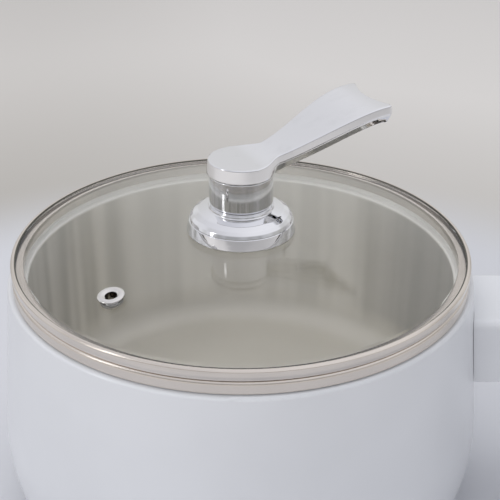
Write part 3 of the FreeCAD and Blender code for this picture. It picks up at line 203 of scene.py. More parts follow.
# Floor: a painted pool of light round the part, and painted shade falling off to a paler grey
FLOOR_LIGHT_POOL = (0.59, 0.595, 0.625)
FLOOR_SHADE = (0.41, 0.39, 0.36)
FLOOR_BEHIND = (0.66, 0.635, 0.61)
ROOM_SHADE = (0.46, 0.455, 0.44)
ROOM_PALE = (0.78, 0.78, 0.80)
ROOM_FRONT = (0.30, 0.305, 0.32)
ROOM_BACK = (0.92, 0.92, 0.91)
ROOM_FILL = (0.56, 0.57, 0.60)
CEILING_LEFT = (0.74, 0.74, 0.78)
CEILING_RIGHT = (0.90, 0.90, 0.935)


# Surface maths

class Field:
    """A value that changes over a surface: one output socket, with sums written as Python."""

    def __init__(self, bench, socket):
        self.bench = bench
        self.socket = socket

    def maths(self, operation, *values):
        return self.bench.node("ShaderNodeMath", {"operation": operation}, *values)

    def __add__(self, other):
        return self.maths("ADD", self, other)

    def __sub__(self, other):
        return self.maths("SUBTRACT", self, other)

    def __rsub__(self, other):
        return self.maths("SUBTRACT", other, self)

    def __mul__(self, other):
        return self.maths("MULTIPLY", self, other)

    def __truediv__(self, other):
        return self.maths("DIVIDE", self, other)

    def __rtruediv__(self, other):
        return self.maths("DIVIDE", other, self)

    def __pow__(self, other):
        return self.maths("POWER", self, other)

    def __rpow__(self, other):
        return self.maths("POWER", other, self)

    __radd__ = __add__
    __rmul__ = __mul__

    def sine(self):
        return self.maths("SINE", self)

    def cosine(self):
        return self.maths("COSINE", self)

    def between(self, low, high):
        """0 at low, 1 at high and a smooth climb from one to the other."""
        settings = {"interpolation_type": "SMOOTHSTEP"}
        return self.bench.node("ShaderNodeMapRange", settings, self, low, high, 0.0, 1.0)

    def into(self, zone):
        """The same climb over a zone given in millimetres."""
        start, full = zone
        return self.between(start * MM, full * MM)


class Bench:
    """A node tree under construction, for a material, the room's surround or repeated pieces."""

    def __init__(self, tree):
        self.tree = tree
        self.axes = {}

    def node(self, kind, settings, *values, named=None, output=0):
        """Adds a node: first its settings, then the values or links of its sockets."""
        made = self.tree.nodes.new(kind)
        for key, value in settings.items():
            setattr(made, key, value)
        for index, value in enumerate(values):
            self.feed(made.inputs[index], value)
        for key, value in (named or {}).items():
            self.feed(made.inputs[key], value)
        return Field(self, made.outputs[output]) if made.outputs else None

    def feed(self, socket, value):
        if isinstance(value, Field):
            self.tree.links.new(value.socket, socket)
        else:
            socket.default_value = value

    def place(self):
        """Object coordinates, which are the part's own frame in metres."""
        if "place" not in self.axes:
            self.axes["place"] = self.node("ShaderNodeTexCoord", {}, output="Object")
        return self.axes["place"]

    def axis(self, name):
        if name not in self.axes:
            self.axes[name] = self.node("ShaderNodeSeparateXYZ", {}, self.place(), output=name)
        return self.axes[name]

    def radius(self):
        """Distance from the pot's axis."""
        if "radius" not in self.axes:
            self.axes["radius"] = (self.axis("X") ** 2.0 + self.axis("Y") ** 2.0) ** 0.5
        return self.axes["radius"]

    def vector(self, x, y, z):
        return self.node("ShaderNodeCombineXYZ", {}, x, y, z)

    def turned_place(self, along, across):
        """Coordinates stretched round the Z axis, as marks from a lathe or a polishing wheel."""
        reach = self.radius() + TINY
        x = self.axis("X") / reach * along
        y = self.axis("Y") / reach * along
        return self.vector(x, y, (self.radius() + self.axis("Z")) * across)

    def drawn_place(self, x_scale, y_scale, z_scale):
        """Coordinates scaled by an amount of their own along each axis."""
        x = self.axis("X") * x_scale
        y = self.axis("Y") * y_scale
        return self.vector(x, y, self.axis("Z") * z_scale)

    def noise(self, place, scale, detail, roughness=0.55):
        named = {"Vector": place, "Scale": scale, "Detail": detail, "Roughness": roughness}
        return self.node("ShaderNodeTexNoise", {}, named=named)

    def mix(self, first, second, share):
        """One colour, and another in its place by a field from 0 to 1."""
        settings = {"data_type": "RGBA", "clamp_factor": True}
        named = {0: share, 6: first, 7: second}
        return self.node("ShaderNodeMix", settings, named=named, output=2)

    def tint(self, colour, other, share):
        """The same mix of two plain colours."""
        return self.mix(tone(colour), tone(other), share)

    def ray(self, kind):
        return self.node("ShaderNodeLightPath", {}, output=kind)


class Finish(Bench):
    """One material with a Principled shader, and the nodes that feed it."""

    def __init__(self, name):
        self.material = bpy.data.materials.new(name)
        self.material.use_nodes = True
        super().__init__(self.material.node_tree)
        self.shader = self.tree.nodes["Principled BSDF"]

    def surface(self, values):
        """Feeds the shader's sockets."""
        for key, value in values.items():
            self.feed(self.shader.inputs[key], value)
        return self

    def bump(self, height, depth, strength):
        """A normal from a height field, with the relief's depth in millimetres."""
        named = {"Height": height, "Distance": depth * MM, "Strength": strength}
        return self.node("ShaderNodeBump", {}, named=named, output="Normal")


def tone(colour):
    return (*colour, 1.0)


def scaled(colour, share):
    return tuple(value * share for value in colour)


# Finishes

def turned_steel(name, colour, roughness, lines, lip_shadow=None):
    """Stainless steel with fine marks round the pot's axis, smears, and a painted shadow line at a
    lip.
    """
    finish = Finish(name)
    fine = finish.noise(finish.turned_place(3.0, lines), 1.0, 2.0)
    coarse = finish.noise(finish.turned_place(1.2, lines * 0.18), 1.0, 3.0)
    smear = finish.noise(finish.place(), 22.0, 3.0)
    worn = (coarse * 0.5 + smear * 0.4).between(0.25, 0.75)
    steel = finish.tint(colour, scaled(colour, 0.82), worn)
    # Painted shadow: a dark line round the lip where it meets the glass
    if lip_shadow:
        radius, height = lip_shadow
        line = finish.radius().into((radius, radius - 0.12))
        line = line * finish.axis("Z").into((height - 0.1, height))
        steel = finish.mix(steel, tone(LIP_SHADE), line * 0.95)
    return finish.surface({
        "Base Color": steel,
        "Metallic": 1.0,
        "Roughness": fine * 0.10 + smear * 0.08 + (roughness - 0.09),
        "Anisotropic": 0.55,
        "Normal": finish.bump(fine + coarse * 0.4, 0.006, 0.5),
    })


def spun_pot_steel(name, rim_colour, wall_colour, roughness, lines):
    """The pot's steel: a bright rim, and a satin wall inside with painted reflection streaks, shade
    and light.
    """
    finish = Finish(name)
    fine = finish.noise(finish.turned_place(3.0, lines), 1.0, 2.0)
    # Painted reflections: soft streaks down the wall in place of the room's reflected bands
    reflection_streak = finish.noise(finish.turned_place(4.2, 1.6), 1.0, 2.0).between(0.38, 0.62)
    smear = finish.noise(finish.place(), 22.0, 3.0)
    inside = finish.radius().into(INSIDE_ZONE)
    ledge = finish.axis("Z").into(LEDGE_ZONE)
    upright = finish.axis("Z").into(WALL_ZONE) * (1.0 - ledge)
    # Painted shade on the wall's right and left, where less light falls inside the pot
    right = finish.axis("X").into(RIGHT_ZONE)
    left = finish.axis("X").into(LEFT_ZONE)
    painted_shade = (right + left * 0.6) * upright
    # Painted light: the far wall made paler, where more light falls on it
    far = finish.axis("Y").into(FAR_ZONE) * upright * (1.0 - painted_shade)
    shade = tuple(value * share for value, share in zip(wall_colour, REFLECTION_STREAK_SHADE))
    wall = finish.tint(wall_colour, shade, reflection_streak * upright * 0.9 + smear * 0.2)
    wall = finish.mix(wall, tone(PAINTED_SHADE_STEEL), painted_shade * 0.80)
    wall = finish.mix(wall, tone(PAINTED_LIGHT_STEEL), far * 0.70)
    wall = finish.mix(wall, tone(LEDGE_STEEL), ledge)
    rim = finish.tint(rim_colour, scaled(rim_colour, 0.86), smear)
    return finish.surface({
        "Base Color": finish.mix(rim, wall, inside),
        "Metallic": 1.0 - inside * (ledge * 0.30 + 0.42),
        "Roughness": fine * 0.10 + smear * 0.06 + inside * 0.32 + (roughness - 0.08),
        "Anisotropic": 0.35,
        "Normal": finish.bump(fine, 0.012, 0.5),
    })


def polished_chrome(name, colour, roughness, bore=None):
    """Bright plating with hairline scratches, orange peel and finger marks, and painted shade in a
    bore.
    """
    finish = Finish(name)
    hair = finish.noise(finish.drawn_place(90.0, 1400.0, 900.0), 1.0, 2.0).between(0.62, 0.74)
    peel = finish.noise(finish.place(), 260.0, 2.0)
    marks = finish.noise(finish.place(), 70.0, 4.0, 0.6).between(0.52, 0.72)
    plate = finish.tint(colour, scaled(colour, 0.965), marks)
    # Painted shade: the bore made dark inside, where little light reaches
    if bore:
        centre, radius = bore
        x = finish.axis("X") - centre.x
        y = finish.axis("Y") - centre.y
        bore_shade = ((x ** 2.0 + y ** 2.0) ** 0.5).between(radius * 1.05, radius * 0.99)
        plate = finish.mix(plate, tone(VENT_BORE_SHADE), bore_shade)
    return finish.surface({
        "Base Color": plate,
        "Metallic": 1.0,
        "Roughness": marks * 0.05 + hair * 0.05 + roughness,
        "Normal": finish.bump(peel + hair * 0.15, 0.010, 0.35),
    })


def gloss_plastic(name, colour, roughness, coat):
    """Moulded, lacquered plastic: faint flow, orange peel under a clear coat, and fine dust."""
    finish = Finish(name)
    flow = finish.noise(finish.place(), 9.0, 3.0)
    peel = finish.noise(finish.place(), 420.0, 2.0)
    dust = finish.noise(finish.place(), 1500.0, 2.0).between(0.70, 0.78)
    return finish.surface({
        "Base Color": finish.tint(colour, scaled(colour, 0.955), flow.between(0.35, 0.65)),
        "Roughness": dust * 0.15 + flow * 0.05 + roughness,
        "Coat Weight": coat,
        "Coat Roughness": 0.06,
        "Specular IOR Level": 0.5,
        "Normal": finish.bump(peel + dust * 0.3, 0.014, 0.30),
    })


def matt_plastic(name, colour, roughness, grain):
    """Spark-eroded plastic: fine pebbled texture, rubbed smoother and paler in patches."""
    finish = Finish(name)
    pebble = finish.noise(finish.place(), grain, 3.0, 0.6)
    rubbed = finish.noise(finish.place(), 45.0, 4.0, 0.6).between(0.50, 0.72)
    pale = tuple(min(1.0, value * 1.18 + 0.01) for value in colour)
    return finish.surface({
        "Base Color": finish.tint(colour, pale, rubbed * 0.5 + pebble * 0.25),
        "Roughness": pebble * 0.12 - rubbed * 0.10 + roughness,
        "Specular IOR Level": 0.45,
        "Normal": finish.bump(pebble, 0.05, 0.5),
    })


def soft_rubber(name, colour, roughness):
    """Silicone or rubber: fine matt skin with a little powder in it."""
    finish = Finish(name)
    skin = finish.noise(finish.place(), 1800.0, 2.0)
    bloom = finish.noise(finish.place(), 60.0, 4.0).between(0.45, 0.75)
    pale = tuple(value * 0.85 + 0.05 for value in colour)
    return finish.surface({
        "Base Color": finish.tint(colour, pale, bloom * 0.6),
        "Roughness": skin * 0.10 + bloom * 0.10 + roughness,
        "Specular IOR Level": 0.35,
        "Sheen Weight": 0.12,
        "Normal": finish.bump(skin, 0.02, 0.5),
    })


def plain_metal(name, colour, roughness, grain, tarnish):
    """Bare pressed or cast metal: grain, rolled haze and darker patches."""
    finish = Finish(name)
    fine = finish.noise(finish.place(), grain, 3.0, 0.6)
    patch = finish.noise(finish.place(), 85.0, 4.0, 0.6).between(0.42, 0.70)
    return finish.surface({
        "Base Color": finish.tint(colour, scaled(colour, tarnish), patch * 0.7 + fine * 0.2),
        "Metallic": 1.0,
        "Roughness": fine * 0.14 + patch * 0.12 + roughness,
        "Normal": finish.bump(fine, 0.03, 0.5),
    })


def lead_sleeve(name, colour):
    """Fibre sleeve over a lead: a fine tight weave with grime in patches."""
    finish = Finish(name)
    weave = finish.noise(finish.place(), 2600.0, 1.0)
    grime = finish.noise(finish.place(), 120.0, 3.0).between(0.5, 0.75)
    return finish.surface({
        "Base Color": finish.tint(colour, scaled(colour, 0.6), grime * 0.5 + weave * 0.2),
        "Roughness": weave * 0.2 + 0.45,
        "Normal": finish.bump(weave, 0.05, 0.6),
    })


def clear_glass(name, colour, roughness, haze_reach):
    """Toughened glass: water-white, with a faint wave and wiped smears, and it lets the lamps in."""
    finish = Finish(name)
    wave = finish.noise(finish.place(), 26.0, 2.0)
    wiped = finish.drawn_place(14.0, 40.0, 40.0)
    smear = finish.noise(wiped, 1.0, 4.0, 0.6).between(0.55, 0.80)
    finish.surface({
        "Base Color": finish.tint(colour, scaled(colour, 0.985), smear),
        "Transmission Weight": 1.0,
        "IOR": 1.50,
        "Roughness": smear * haze_reach + roughness,
        "Normal": finish.bump(wave, 0.010, 0.25),
    })
    body = Field(finish, finish.shader.outputs["BSDF"])
    clear = finish.node("ShaderNodeBsdfTransparent", {}, tone(scaled(colour, 0.95)))
    mixed = finish.node("ShaderNodeMixShader", {}, finish.ray("Is Shadow Ray"), body, clear)
    finish.feed(finish.tree.nodes["Material Output"].inputs["Surface"], mixed)
    return finish


def glowing_amber(name):
    """Ribbed amber lens of the pilot light."""
    finish = Finish(name)
    ribs = (finish.axis("Z") * (math.tau / (0.55 * MM))).sine()
    cloud = finish.noise(finish.place(), 500.0, 2.0)
    return finish.surface({
        "Base Color": finish.tint(AMBER, PALE_AMBER, cloud),
        "Roughness": cloud * 0.1 + 0.12,
        "Transmission Weight": 0.35,
        "Coat Weight": 0.6,
        "Normal": finish.bump(ribs, 0.06, 0.6),
    })


SLOT_FINISHES = {
    "stainless_brushed": turned_steel("brushed_stainless", NICKEL, 0.24, 2600.0),
    "silicone_white": soft_rubber("white_silicone", (0.62, 0.62, 0.62), 0.50),
    "white_gloss": gloss_plastic("white_lacquer", WHITE, 0.26, 0.55),
    "grey_matte": matt_plastic("grey_plastic", (0.36, 0.37, 0.40), 0.48, 1500.0),
    "steel_plain": plain_metal("plain_steel", (0.56, 0.56, 0.56), 0.30, 900.0, 0.8),
    "rubber_grey": soft_rubber("grey_rubber", (0.16, 0.16, 0.17), 0.58),
    "cast_aluminium": plain_metal("cast_aluminium", (0.62, 0.62, 0.63), 0.42, 500.0, 0.75),
    "black_matte": matt_plastic("black_plastic", (0.022, 0.022, 0.024), 0.46, 1700.0),
    "silver_gloss": polished_chrome("silver_plating", (0.74, 0.74, 0.75), 0.10),
    "brass_plain": plain_metal("brass", (0.72, 0.53, 0.23), 0.26, 900.0, 0.7),
    "amber_lens": glowing_amber("amber_lens"),
    "lamp_glass": clear_glass("lamp_glass", (0.95, 0.93, 0.90), 0.02, 0.05),
    "lead_brown": lead_sleeve("brown_lead", (0.16, 0.07, 0.03)),
    "lead_white": lead_sleeve("white_lead", (0.70, 0.68, 0.62)),
    "lead_blue": lead_sleeve("blue_lead", (0.03, 0.10, 0.38)),
    "lead_green": lead_sleeve("green_lead", (0.10, 0.36, 0.06)),
    "clear_glass": clear_glass("lid_glass", (0.98, 0.978, 0.968), 0.0, 0.02),
    "chrome_plate": polished_chrome("chrome", CHROME, 0.03),
}


def dress(piece, slot, finish=None):
    """Gives a piece the finish of its slot, or its own finish of that slot's kind."""
    piece.data.materials.clear()
    piece.data.materials.append((finish or SLOT_FINISHES[slot]).material)
    return piece


def dress_nodes():
    """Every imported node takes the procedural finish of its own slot."""
    for part in frame["record"]["subparts"]:
        for holder in NODES[part["node"]].material_slots:
            holder.material = SLOT_FINISHES[part["material_slot"]].material


# Meshes

def put_in_scene(name, data):
    """A new object in the scene that holds a mesh, a text, a lamp or a camera."""
    holder = bpy.data.objects.new(name, data)
    bpy.context.scene.collection.objects.link(holder)
    return holder


def evaluated_mesh(holder):
    """Plain mesh of an object as its modifiers or its text leave it."""
    view = bpy.context.evaluated_depsgraph_get()
    return bpy.data.meshes.new_from_object(holder.evaluated_get(view))


def softened(corners, steps=BEND_STEPS):
    """Outline through corners of (radius, height, bend), given in millimetres and made in metres.

    Each bend is an arc with a guard point at either end, so that the flats beside it shade flat.
    """
    corners = [tuple(value * MM for value in corner) for corner in corners]
    points = []
    for i, (r, z, bend) in enumerate(corners):
        here = Vector((r, z))
        if bend == 0.0:
            points.append(here)
            continue
        back = (Vector(corners[i - 1][:2]) - here).normalized()
        ahead = (Vector(corners[(i + 1) % len(corners)][:2]) - here).normalized()
        half = back.angle(ahead) / 2.0
        reach = bend / math.tan(half)
        centre = here + (back + ahead).normalized() * (bend / math.sin(half))
        first = here + back * reach - centre
        last = here + ahead * reach - centre
        points.append(here + back * (reach + GUARD))
        points += [centre + first.slerp(last, k / steps) * bend for k in range(steps + 1)]
        points.append(here + ahead * (reach + GUARD))
    return points


def as_piece(name, maker, body, slot, finish=None):
    """Turns a bmesh into a smooth piece that rides on a body and wears a slot's finish."""
    bmesh.ops.recalc_face_normals(maker, faces=maker.faces)
    for face in maker.faces:
        face.smooth = True
    mesh = bpy.data.meshes.new(name)
    maker.to_mesh(mesh)
    maker.free()
    piece = put_in_scene(name, mesh)
    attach(piece, body)
    return dress(piece, slot, finish)


def spin(outline, steps=TURN_STEPS):
    """Closed outline of (radius, height) turned once about the Z axis."""
    maker = bmesh.new()
    turns = [math.tau * k / steps for k in range(steps)]
    rings = []
    for r, z in outline:
        if r < TINY:
            rings.append([maker.verts.new((0.0, 0.0, z))])
            continue
        rings.append([maker.verts.new((r * math.cos(t), r * math.sin(t), z)) for t in turns])
    for i, ring in enumerate(rings):
        after = rings[(i + 1) % len(rings)]
        for k in range(steps):
            corners = [ring[k % len(ring)], ring[(k + 1) % len(ring)],
                       after[(k + 1) % len(after)], after[k % len(after)]]
            unique = list(dict.fromkeys(corners))
            if len(unique) > 2:
                maker.faces.new(unique)
    return maker


# Pot and lid ring

def make_pot():
    """Drawn steel pot with a rolled rim, a step that the lid's skirt drops into and a soft corner."""
    sheet = POT_SHEET
    ledge = POT_TOP - LEDGE_DROP
    hem = POT_TOP - HEM_DROP
    outline = softened([
        (0.0, POT_BOTTOM, 0.0), (POT_INNER + sheet, POT_BOTTOM, POT_CORNER),
        (POT_INNER + sheet, ledge - sheet, 0.5), (POT_STEP + sheet, ledge - sheet, 0.5),
        (POT_STEP + sheet, POT_TOP - sheet, 0.3), (POT_RIM - sheet, POT_TOP - sheet, 0.3),
        (POT_RIM - sheet, hem, 0.25), (POT_RIM, hem, 0.3), (POT_RIM, POT_TOP, 1.7),
        (POT_STEP, POT_TOP, 0.9), (POT_STEP, ledge, 0.5), (POT_INNER, ledge, 0.9),
        (POT_INNER, POT_BOTTOM + sheet, POT_CORNER - sheet), (0.0, POT_BOTTOM + sheet, 0.0),
    ], FINE_BEND_STEPS)
    finish = spun_pot_steel("pot_steel", NICKEL, WALL_STEEL, 0.24, 2600.0)
    piece = as_piece("pot_liner", spin(outline), "pot", "stainless_brushed", finish)
    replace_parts(piece, "inner_pot")


def make_lid_ring():
    """Rolled steel ring round the glass, with a rounded lip, a tapered wall and a skirt."""
    top = RING_TOP
    sheet = RING_SHEET
    bottom = top - RING_WALL
    foot = bottom - SKIRT_DROP
    outline = softened([
        (107.4, top - sheet, 0.05), (107.7, top - 0.62, 0.1), (108.35, top - 0.02, 0.25),
        (109.15, top, 0.9), (RING_OUTER, top - 0.9, 0.6), (RING_OUTER, top - 3.3, 1.2),
        (109.3, bottom, 0.25), (RING_SKIRT, bottom, 0.3), (RING_SKIRT, foot, 0.25),
        (RING_SKIRT - sheet, foot, 0.25), (RING_SKIRT - sheet, bottom + sheet, 0.3),
        (RING_INSIDE, bottom + sheet, 0.1), (RING_INSIDE, top - sheet, 0.1),
    ])
    finish = turned_steel("ring_steel", NICKEL, 0.20, 2400.0, lip_shadow=(LIP_LINE, top - sheet))
    maker = spin(outline, RING_TURN_STEPS)
    piece = as_piece("lid_ring", maker, "lid", "stainless_brushed", finish)
    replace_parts(piece, "lid_rim")


# Lid lever

def climb(s, start, end):
    """Smooth climb from 0 to 1 as s goes from start to end."""
    share = min(1.0, max(0.0, (s - start) / (end - start)))
    return 3.0 * share ** 2 - 2.0 * share ** 3


def lever_half_width(s):
    """Half width from above: the round head, a narrow neck and a tail that flares."""
    share = max(0.0, (s - ARM_START) / (ARM_REACH - ARM_START))
    swell = math.sin(min(1.0, share / SWELL_END) * math.pi / 2.0) ** SWELL_POWER
    arm = NECK_HALF + (TAIL_HALF - NECK_HALF) * swell
    arm += NECK_FILLET * (max(0.0, ARM_START - max(s, 0.0)) / ARM_START) ** 2
    head = math.sqrt(max(0.0, HEAD_RADIUS ** 2 - s ** 2))
    if s < 0.0:
        return head
    near = max(0.0, HEAD_BLEND - abs(head - arm)) / HEAD_BLEND
    return max(head, arm) + near ** 2 * HEAD_BLEND / 4.0


def lever_plan():
    """Rows of (along, across) points over the lever seen from above."""
    start = -HEAD_RADIUS * math.cos(SHOULDER)
    plan = []
    for i in range(ARM_ROWS + 1):
        along = start + (ARM_REACH - start) * i / ARM_ROWS
        half = lever_half_width(along) if i else HEAD_RADIUS * math.sin(SHOULDER)
        fade = max(0.0, 1.0 - i / (ARM_ROWS * NOSE_END)) ** 2
        gain = climb(along, ARM_REACH * SAG_START, ARM_REACH)
        row = []
        for j in range(ARM_COLUMNS + 1):
            v = 2.0 * j / ARM_COLUMNS - 1.0
            bow = math.sqrt(1.0 - v * v * math.sin(SHOULDER) ** 2)
            nose = (bow - math.cos(SHOULDER)) * HEAD_RADIUS
            tail = TAIL_SAG * (1.0 - v * v)
            row.append(Vector((along - nose * fade - tail * gain, half * v)))
        plan.append(row)
    return plan


def rim_of(plan):
    """Grid places round the outline, in order, with the inside on the left."""
    rows = len(plan) - 1
    columns = len(plan[0]) - 1
    edge = [(i, 0) for i in range(rows)]
    edge += [(rows, j) for j in range(columns)]
    edge += [(i, columns) for i in range(rows, 0, -1)]
    edge += [(0, j) for j in range(columns, 0, -1)]
    return edge


def soften_horns(plan, edge):
    """Rounds the two sharp corners at the tail."""
    count = len(edge)
    for corner in ((ARM_ROWS, 0), (ARM_ROWS, ARM_COLUMNS)):
        middle = plan[corner[0]][corner[1]].copy()
        near = [k for k, (i, j) in enumerate(edge) if (plan[i][j] - middle).length < HORN_REACH]
        for _ in range(HORN_PASSES):
            fresh = {}
            for k in near:
                before, after = edge[k - 1], edge[(k + 1) % count]
                i, j = edge[k]
                away = (plan[i][j] - middle).length / (HORN_REACH + HORN_MARGIN)
                pull = HORN_PULL * (1.0 - away)
                mean = (plan[before[0]][before[1]] + plan[after[0]][after[1]]) / 2.0
                fresh[(i, j)] = plan[i][j].lerp(mean, max(0.0, pull))
            for (i, j), point in fresh.items():
                plan[i][j] = point


def lever_top(s):
    return HEAD_TOP + ARM_RISE * climb(s, CLIMB_START, ARM_REACH - CLIMB_START)


def lever_low(s):
    rise = ARM_RISE - ARM_THICKNESS + HEAD_HEIGHT
    return HEAD_FOOT + rise * climb(s, LOW_CLIMB_START, ARM_REACH - CLIMB_START)


def lever_side(s, down):
    """Inset and height of the side at a share of the way down it."""
    arm_share = climb(s, SIDE_START, SIDE_END)
    ridge = -ARM_RIDGE * min(1.0, down / CREASE)
    ridge += (ARM_UNDERCUT + ARM_RIDGE) * max(0.0, down - CREASE) / (1.0 - CREASE)
    ridge += GROOVE_DEPTH * max(0.0, 1.0 - abs(down - CREASE) / GROOVE_HALF)
    taper = HEAD_TAPER * (1.0 - HEAD_TAPER_TURN * down)
    inset = taper * (1.0 - arm_share) + ridge * arm_share
    return inset, lever_top(s) - (lever_top(s) - lever_low(s)) * down


def lever_hollow(s, share):
    """Height at a share of the hollow's depth; the hollow starts past the head."""
    depth = lever_top(s) - lever_low(s) - ROOF
    return lever_low(s) + depth * climb(s, HOLLOW_START, HOLLOW_END) * share


def lever_section(s):
    """Insets and heights at a place along the lever: top edge, side, lower lip and hollow."""
    edge = lever_side(s, EDGE_END)[0]
    foot = lever_side(s, 1.0)[0]
    low = lever_low(s)
    section = []
    for k in range(EDGE_STEPS + 1):
        turn = math.pi / 2.0 * k / EDGE_STEPS
        inset = EDGE_ROUND * (1.0 - math.sin(turn))
        section.append((inset + edge, lever_top(s) - EDGE_ROUND * (1.0 - math.cos(turn))))
    section += [lever_side(s, down) for down in SIDE_LEVELS]
    section += [(foot + inset, low + lift) for inset, lift in LOWER_LIP]
    section += [(foot + inset, lever_hollow(s, share)) for inset, share in HOLLOW_WALL]
    return section


def lever_mesh():
    """Loops round the lever at each height of its section, closed by a cap above and below."""
    plan = lever_plan()
    edge = rim_of(plan)
    soften_horns(plan, edge)
    outline = [plan[i][j] for i, j in edge]
    count = len(outline)
    maker = bmesh.new()
    turn = Matrix.Rotation(ARM_TURN, 3, "Z")

    def vertex(point, z):
        return maker.verts.new(turn @ Vector((point.x, point.y, z)) * MM)

    normals = []
    for k in range(count):
        run = (outline[(k + 1) % count] - outline[k - 1]).normalized()
        normals.append(Vector((-run.y, run.x)))
    sections = [lever_section(point.x) for point in outline]
    loops = []
    for layer in range(len(sections[0])):
        loop = []
        for point, normal, section in zip(outline, normals, sections):
            inset, z = section[layer]
            loop.append(vertex(point + normal * inset, z))
        loops.append(loop)
    for upper, lower in zip(loops, loops[1:]):
        for k in range(count):
            after = (k + 1) % count
            maker.faces.new([upper[k], upper[after], lower[after], lower[k]])
    place = {spot: k for k, spot in enumerate(edge)}
    for end in (0, -1):
        grid = []
        for i, row in enumerate(plan):
            half = abs(row[0].y)
            line = []
            for j, point in enumerate(row):
                if (i, j) in place:
                    line.append(loops[end][place[(i, j)]])
                    continue
                inset, z = lever_section(point.x)[end]
                line.append(vertex(Vector((point.x, point.y * (half - inset) / half)), z))
            grid.append(line)
        for near, far in zip(grid, grid[1:]):
            for j in range(ARM_COLUMNS):
                maker.faces.new([near[j], far[j], far[j + 1], near[j + 1]])
    return maker


def make_lever():
    """Chromed lever: round head, fishtail arm that climbs away, creased sides, hollow underside."""
    piece = as_piece("lid_lever", lever_mesh(), "lid", "chrome_plate")
    bore = 2.5
    radius = 5.0
    low = GLASS_TOP + 1.0
    high = HEAD_FOOT + 1.5
    boss = softened([(bore, low, 0.2), (radius, low, 0.4), (radius, high, 0.2), (bore, high, 0.2)])
    stud = as_piece("lever_boss", spin(boss, BOSS_TURN_STEPS), "lid", "chrome_plate")
    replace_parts(piece, "knob_arm")
    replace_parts(stud, "knob_arm")


def make_collar():
    """Flange under the lever's post: draughted band, fine crease, shallow dome and a short neck."""
    low = COLLAR_BOTTOM
    neck = COLLAR_TOP
    bore = 5.2
    seat = 21.15
    roof = low + 2.02
    spigot = 14.4
    outline = softened([
        (bore, roof, 0.1), (seat, roof, 0.1), (seat, low + 0.35, 0.1), (26.1, low, 0.3),
        (25.0, neck - 8.1, 0.15), (24.62, neck - 7.9, 0.08), (24.80, neck - 7.6, 0.4),
        (24.25, neck - 6.1, 1.6), (22.9, neck - 4.5, 2.4), (20.4, neck - 3.05, 4.0),
        (15.6, neck - 1.75, 0.7), (15.25, neck - 0.5, 0.3), (spigot, neck - 0.5, 0.1),
        (spigot, neck, 0.1), (bore, neck, 0.1),
    ], FINE_BEND_STEPS)
    piece = as_piece("lever_collar", spin(outline), "lid", "chrome_plate")
    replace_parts(piece, "knob_base")


def make_post():
    """Short polished column with a rounded foot."""
    bore = 5.1
    radius = 15.25
    outline = softened([
        (bore, POST_BOTTOM, 0.2), (radius, POST_BOTTOM, 1.7),
        (radius, POST_TOP, 0.45), (bore, POST_TOP, 0.2),
    ], POST_BEND_STEPS)
    piece = as_piece("lever_post", spin(outline, POST_TURN_STEPS), "lid", "chrome_plate")
    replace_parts(piece, "knob_stem")


# Steam vent

def vent_seat():
    """Where the vent stands: on the glass's spherical dome and square to it."""
    ball = (GLASS_REACH ** 2 + GLASS_RISE ** 2) / (2.0 * GLASS_RISE)
    height = GLASS_TOP - ball + math.sqrt(ball ** 2 - VENT_DISTANCE ** 2)
    return (Matrix.Rotation(VENT_AZIMUTH, 4, "Z")
            @ Matrix.Translation((VENT_DISTANCE * MM, 0.0, height * MM))
            @ Matrix.Rotation(math.asin(VENT_DISTANCE / ball), 4, "Y"))


def make_eyelet():
    """Rolled steam eyelet, square to the glass: a rounded flange, a deep bore and a tube below."""
    tube = 3.9
    flange = 6.2
    foot = -6.6
    outline = softened([
        (VENT_BORE, foot, 0.2), (tube, foot, 0.2), (tube, 0.1, 0.05), (flange, 0.1, 0.30),
        (flange, 0.65, 0.50), (5.4, 1.20, 1.0), (4.2, 1.30, 1.0), (VENT_BORE, 0.45, 0.3),
    ], FINE_BEND_STEPS)
    maker = spin(outline, VENT_TURN_STEPS)
    seat = vent_seat()
    bmesh.ops.transform(maker, matrix=seat, verts=maker.verts)
    mouth = seat @ Vector((0.0, 0.0, VENT_MOUTH * MM))
    finish = polished_chrome("vent_chrome", WARM_CHROME, 0.07, (mouth, VENT_BORE * MM))
    piece = as_piece("steam_eyelet", maker, "lid", "chrome_plate", finish)
    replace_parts(piece, "vent_eyelet")


def make_eyelet_washer():
    """Small washer under the glass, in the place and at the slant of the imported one."""
    bore = 4.0
    radius = 5.2
    half = 0.6
    outline = softened([
        (bore, -half, 0.1), (radius, -half, 0.35), (radius, half, 0.1), (bore, half, 0.1),
    ], WASHER_BEND_STEPS)
    maker = spin(outline, VENT_TURN_STEPS)
    low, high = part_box("vent_washer")
    seat = Matrix.Translation((low + high) / 2.0) @ vent_seat().to_3x3().to_4x4()
    bmesh.ops.transform(maker, matrix=seat, verts=maker.verts)
    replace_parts(as_piece("eyelet_washer", maker, "lid", "steel_plain"), "vent_washer")


# Dial trim

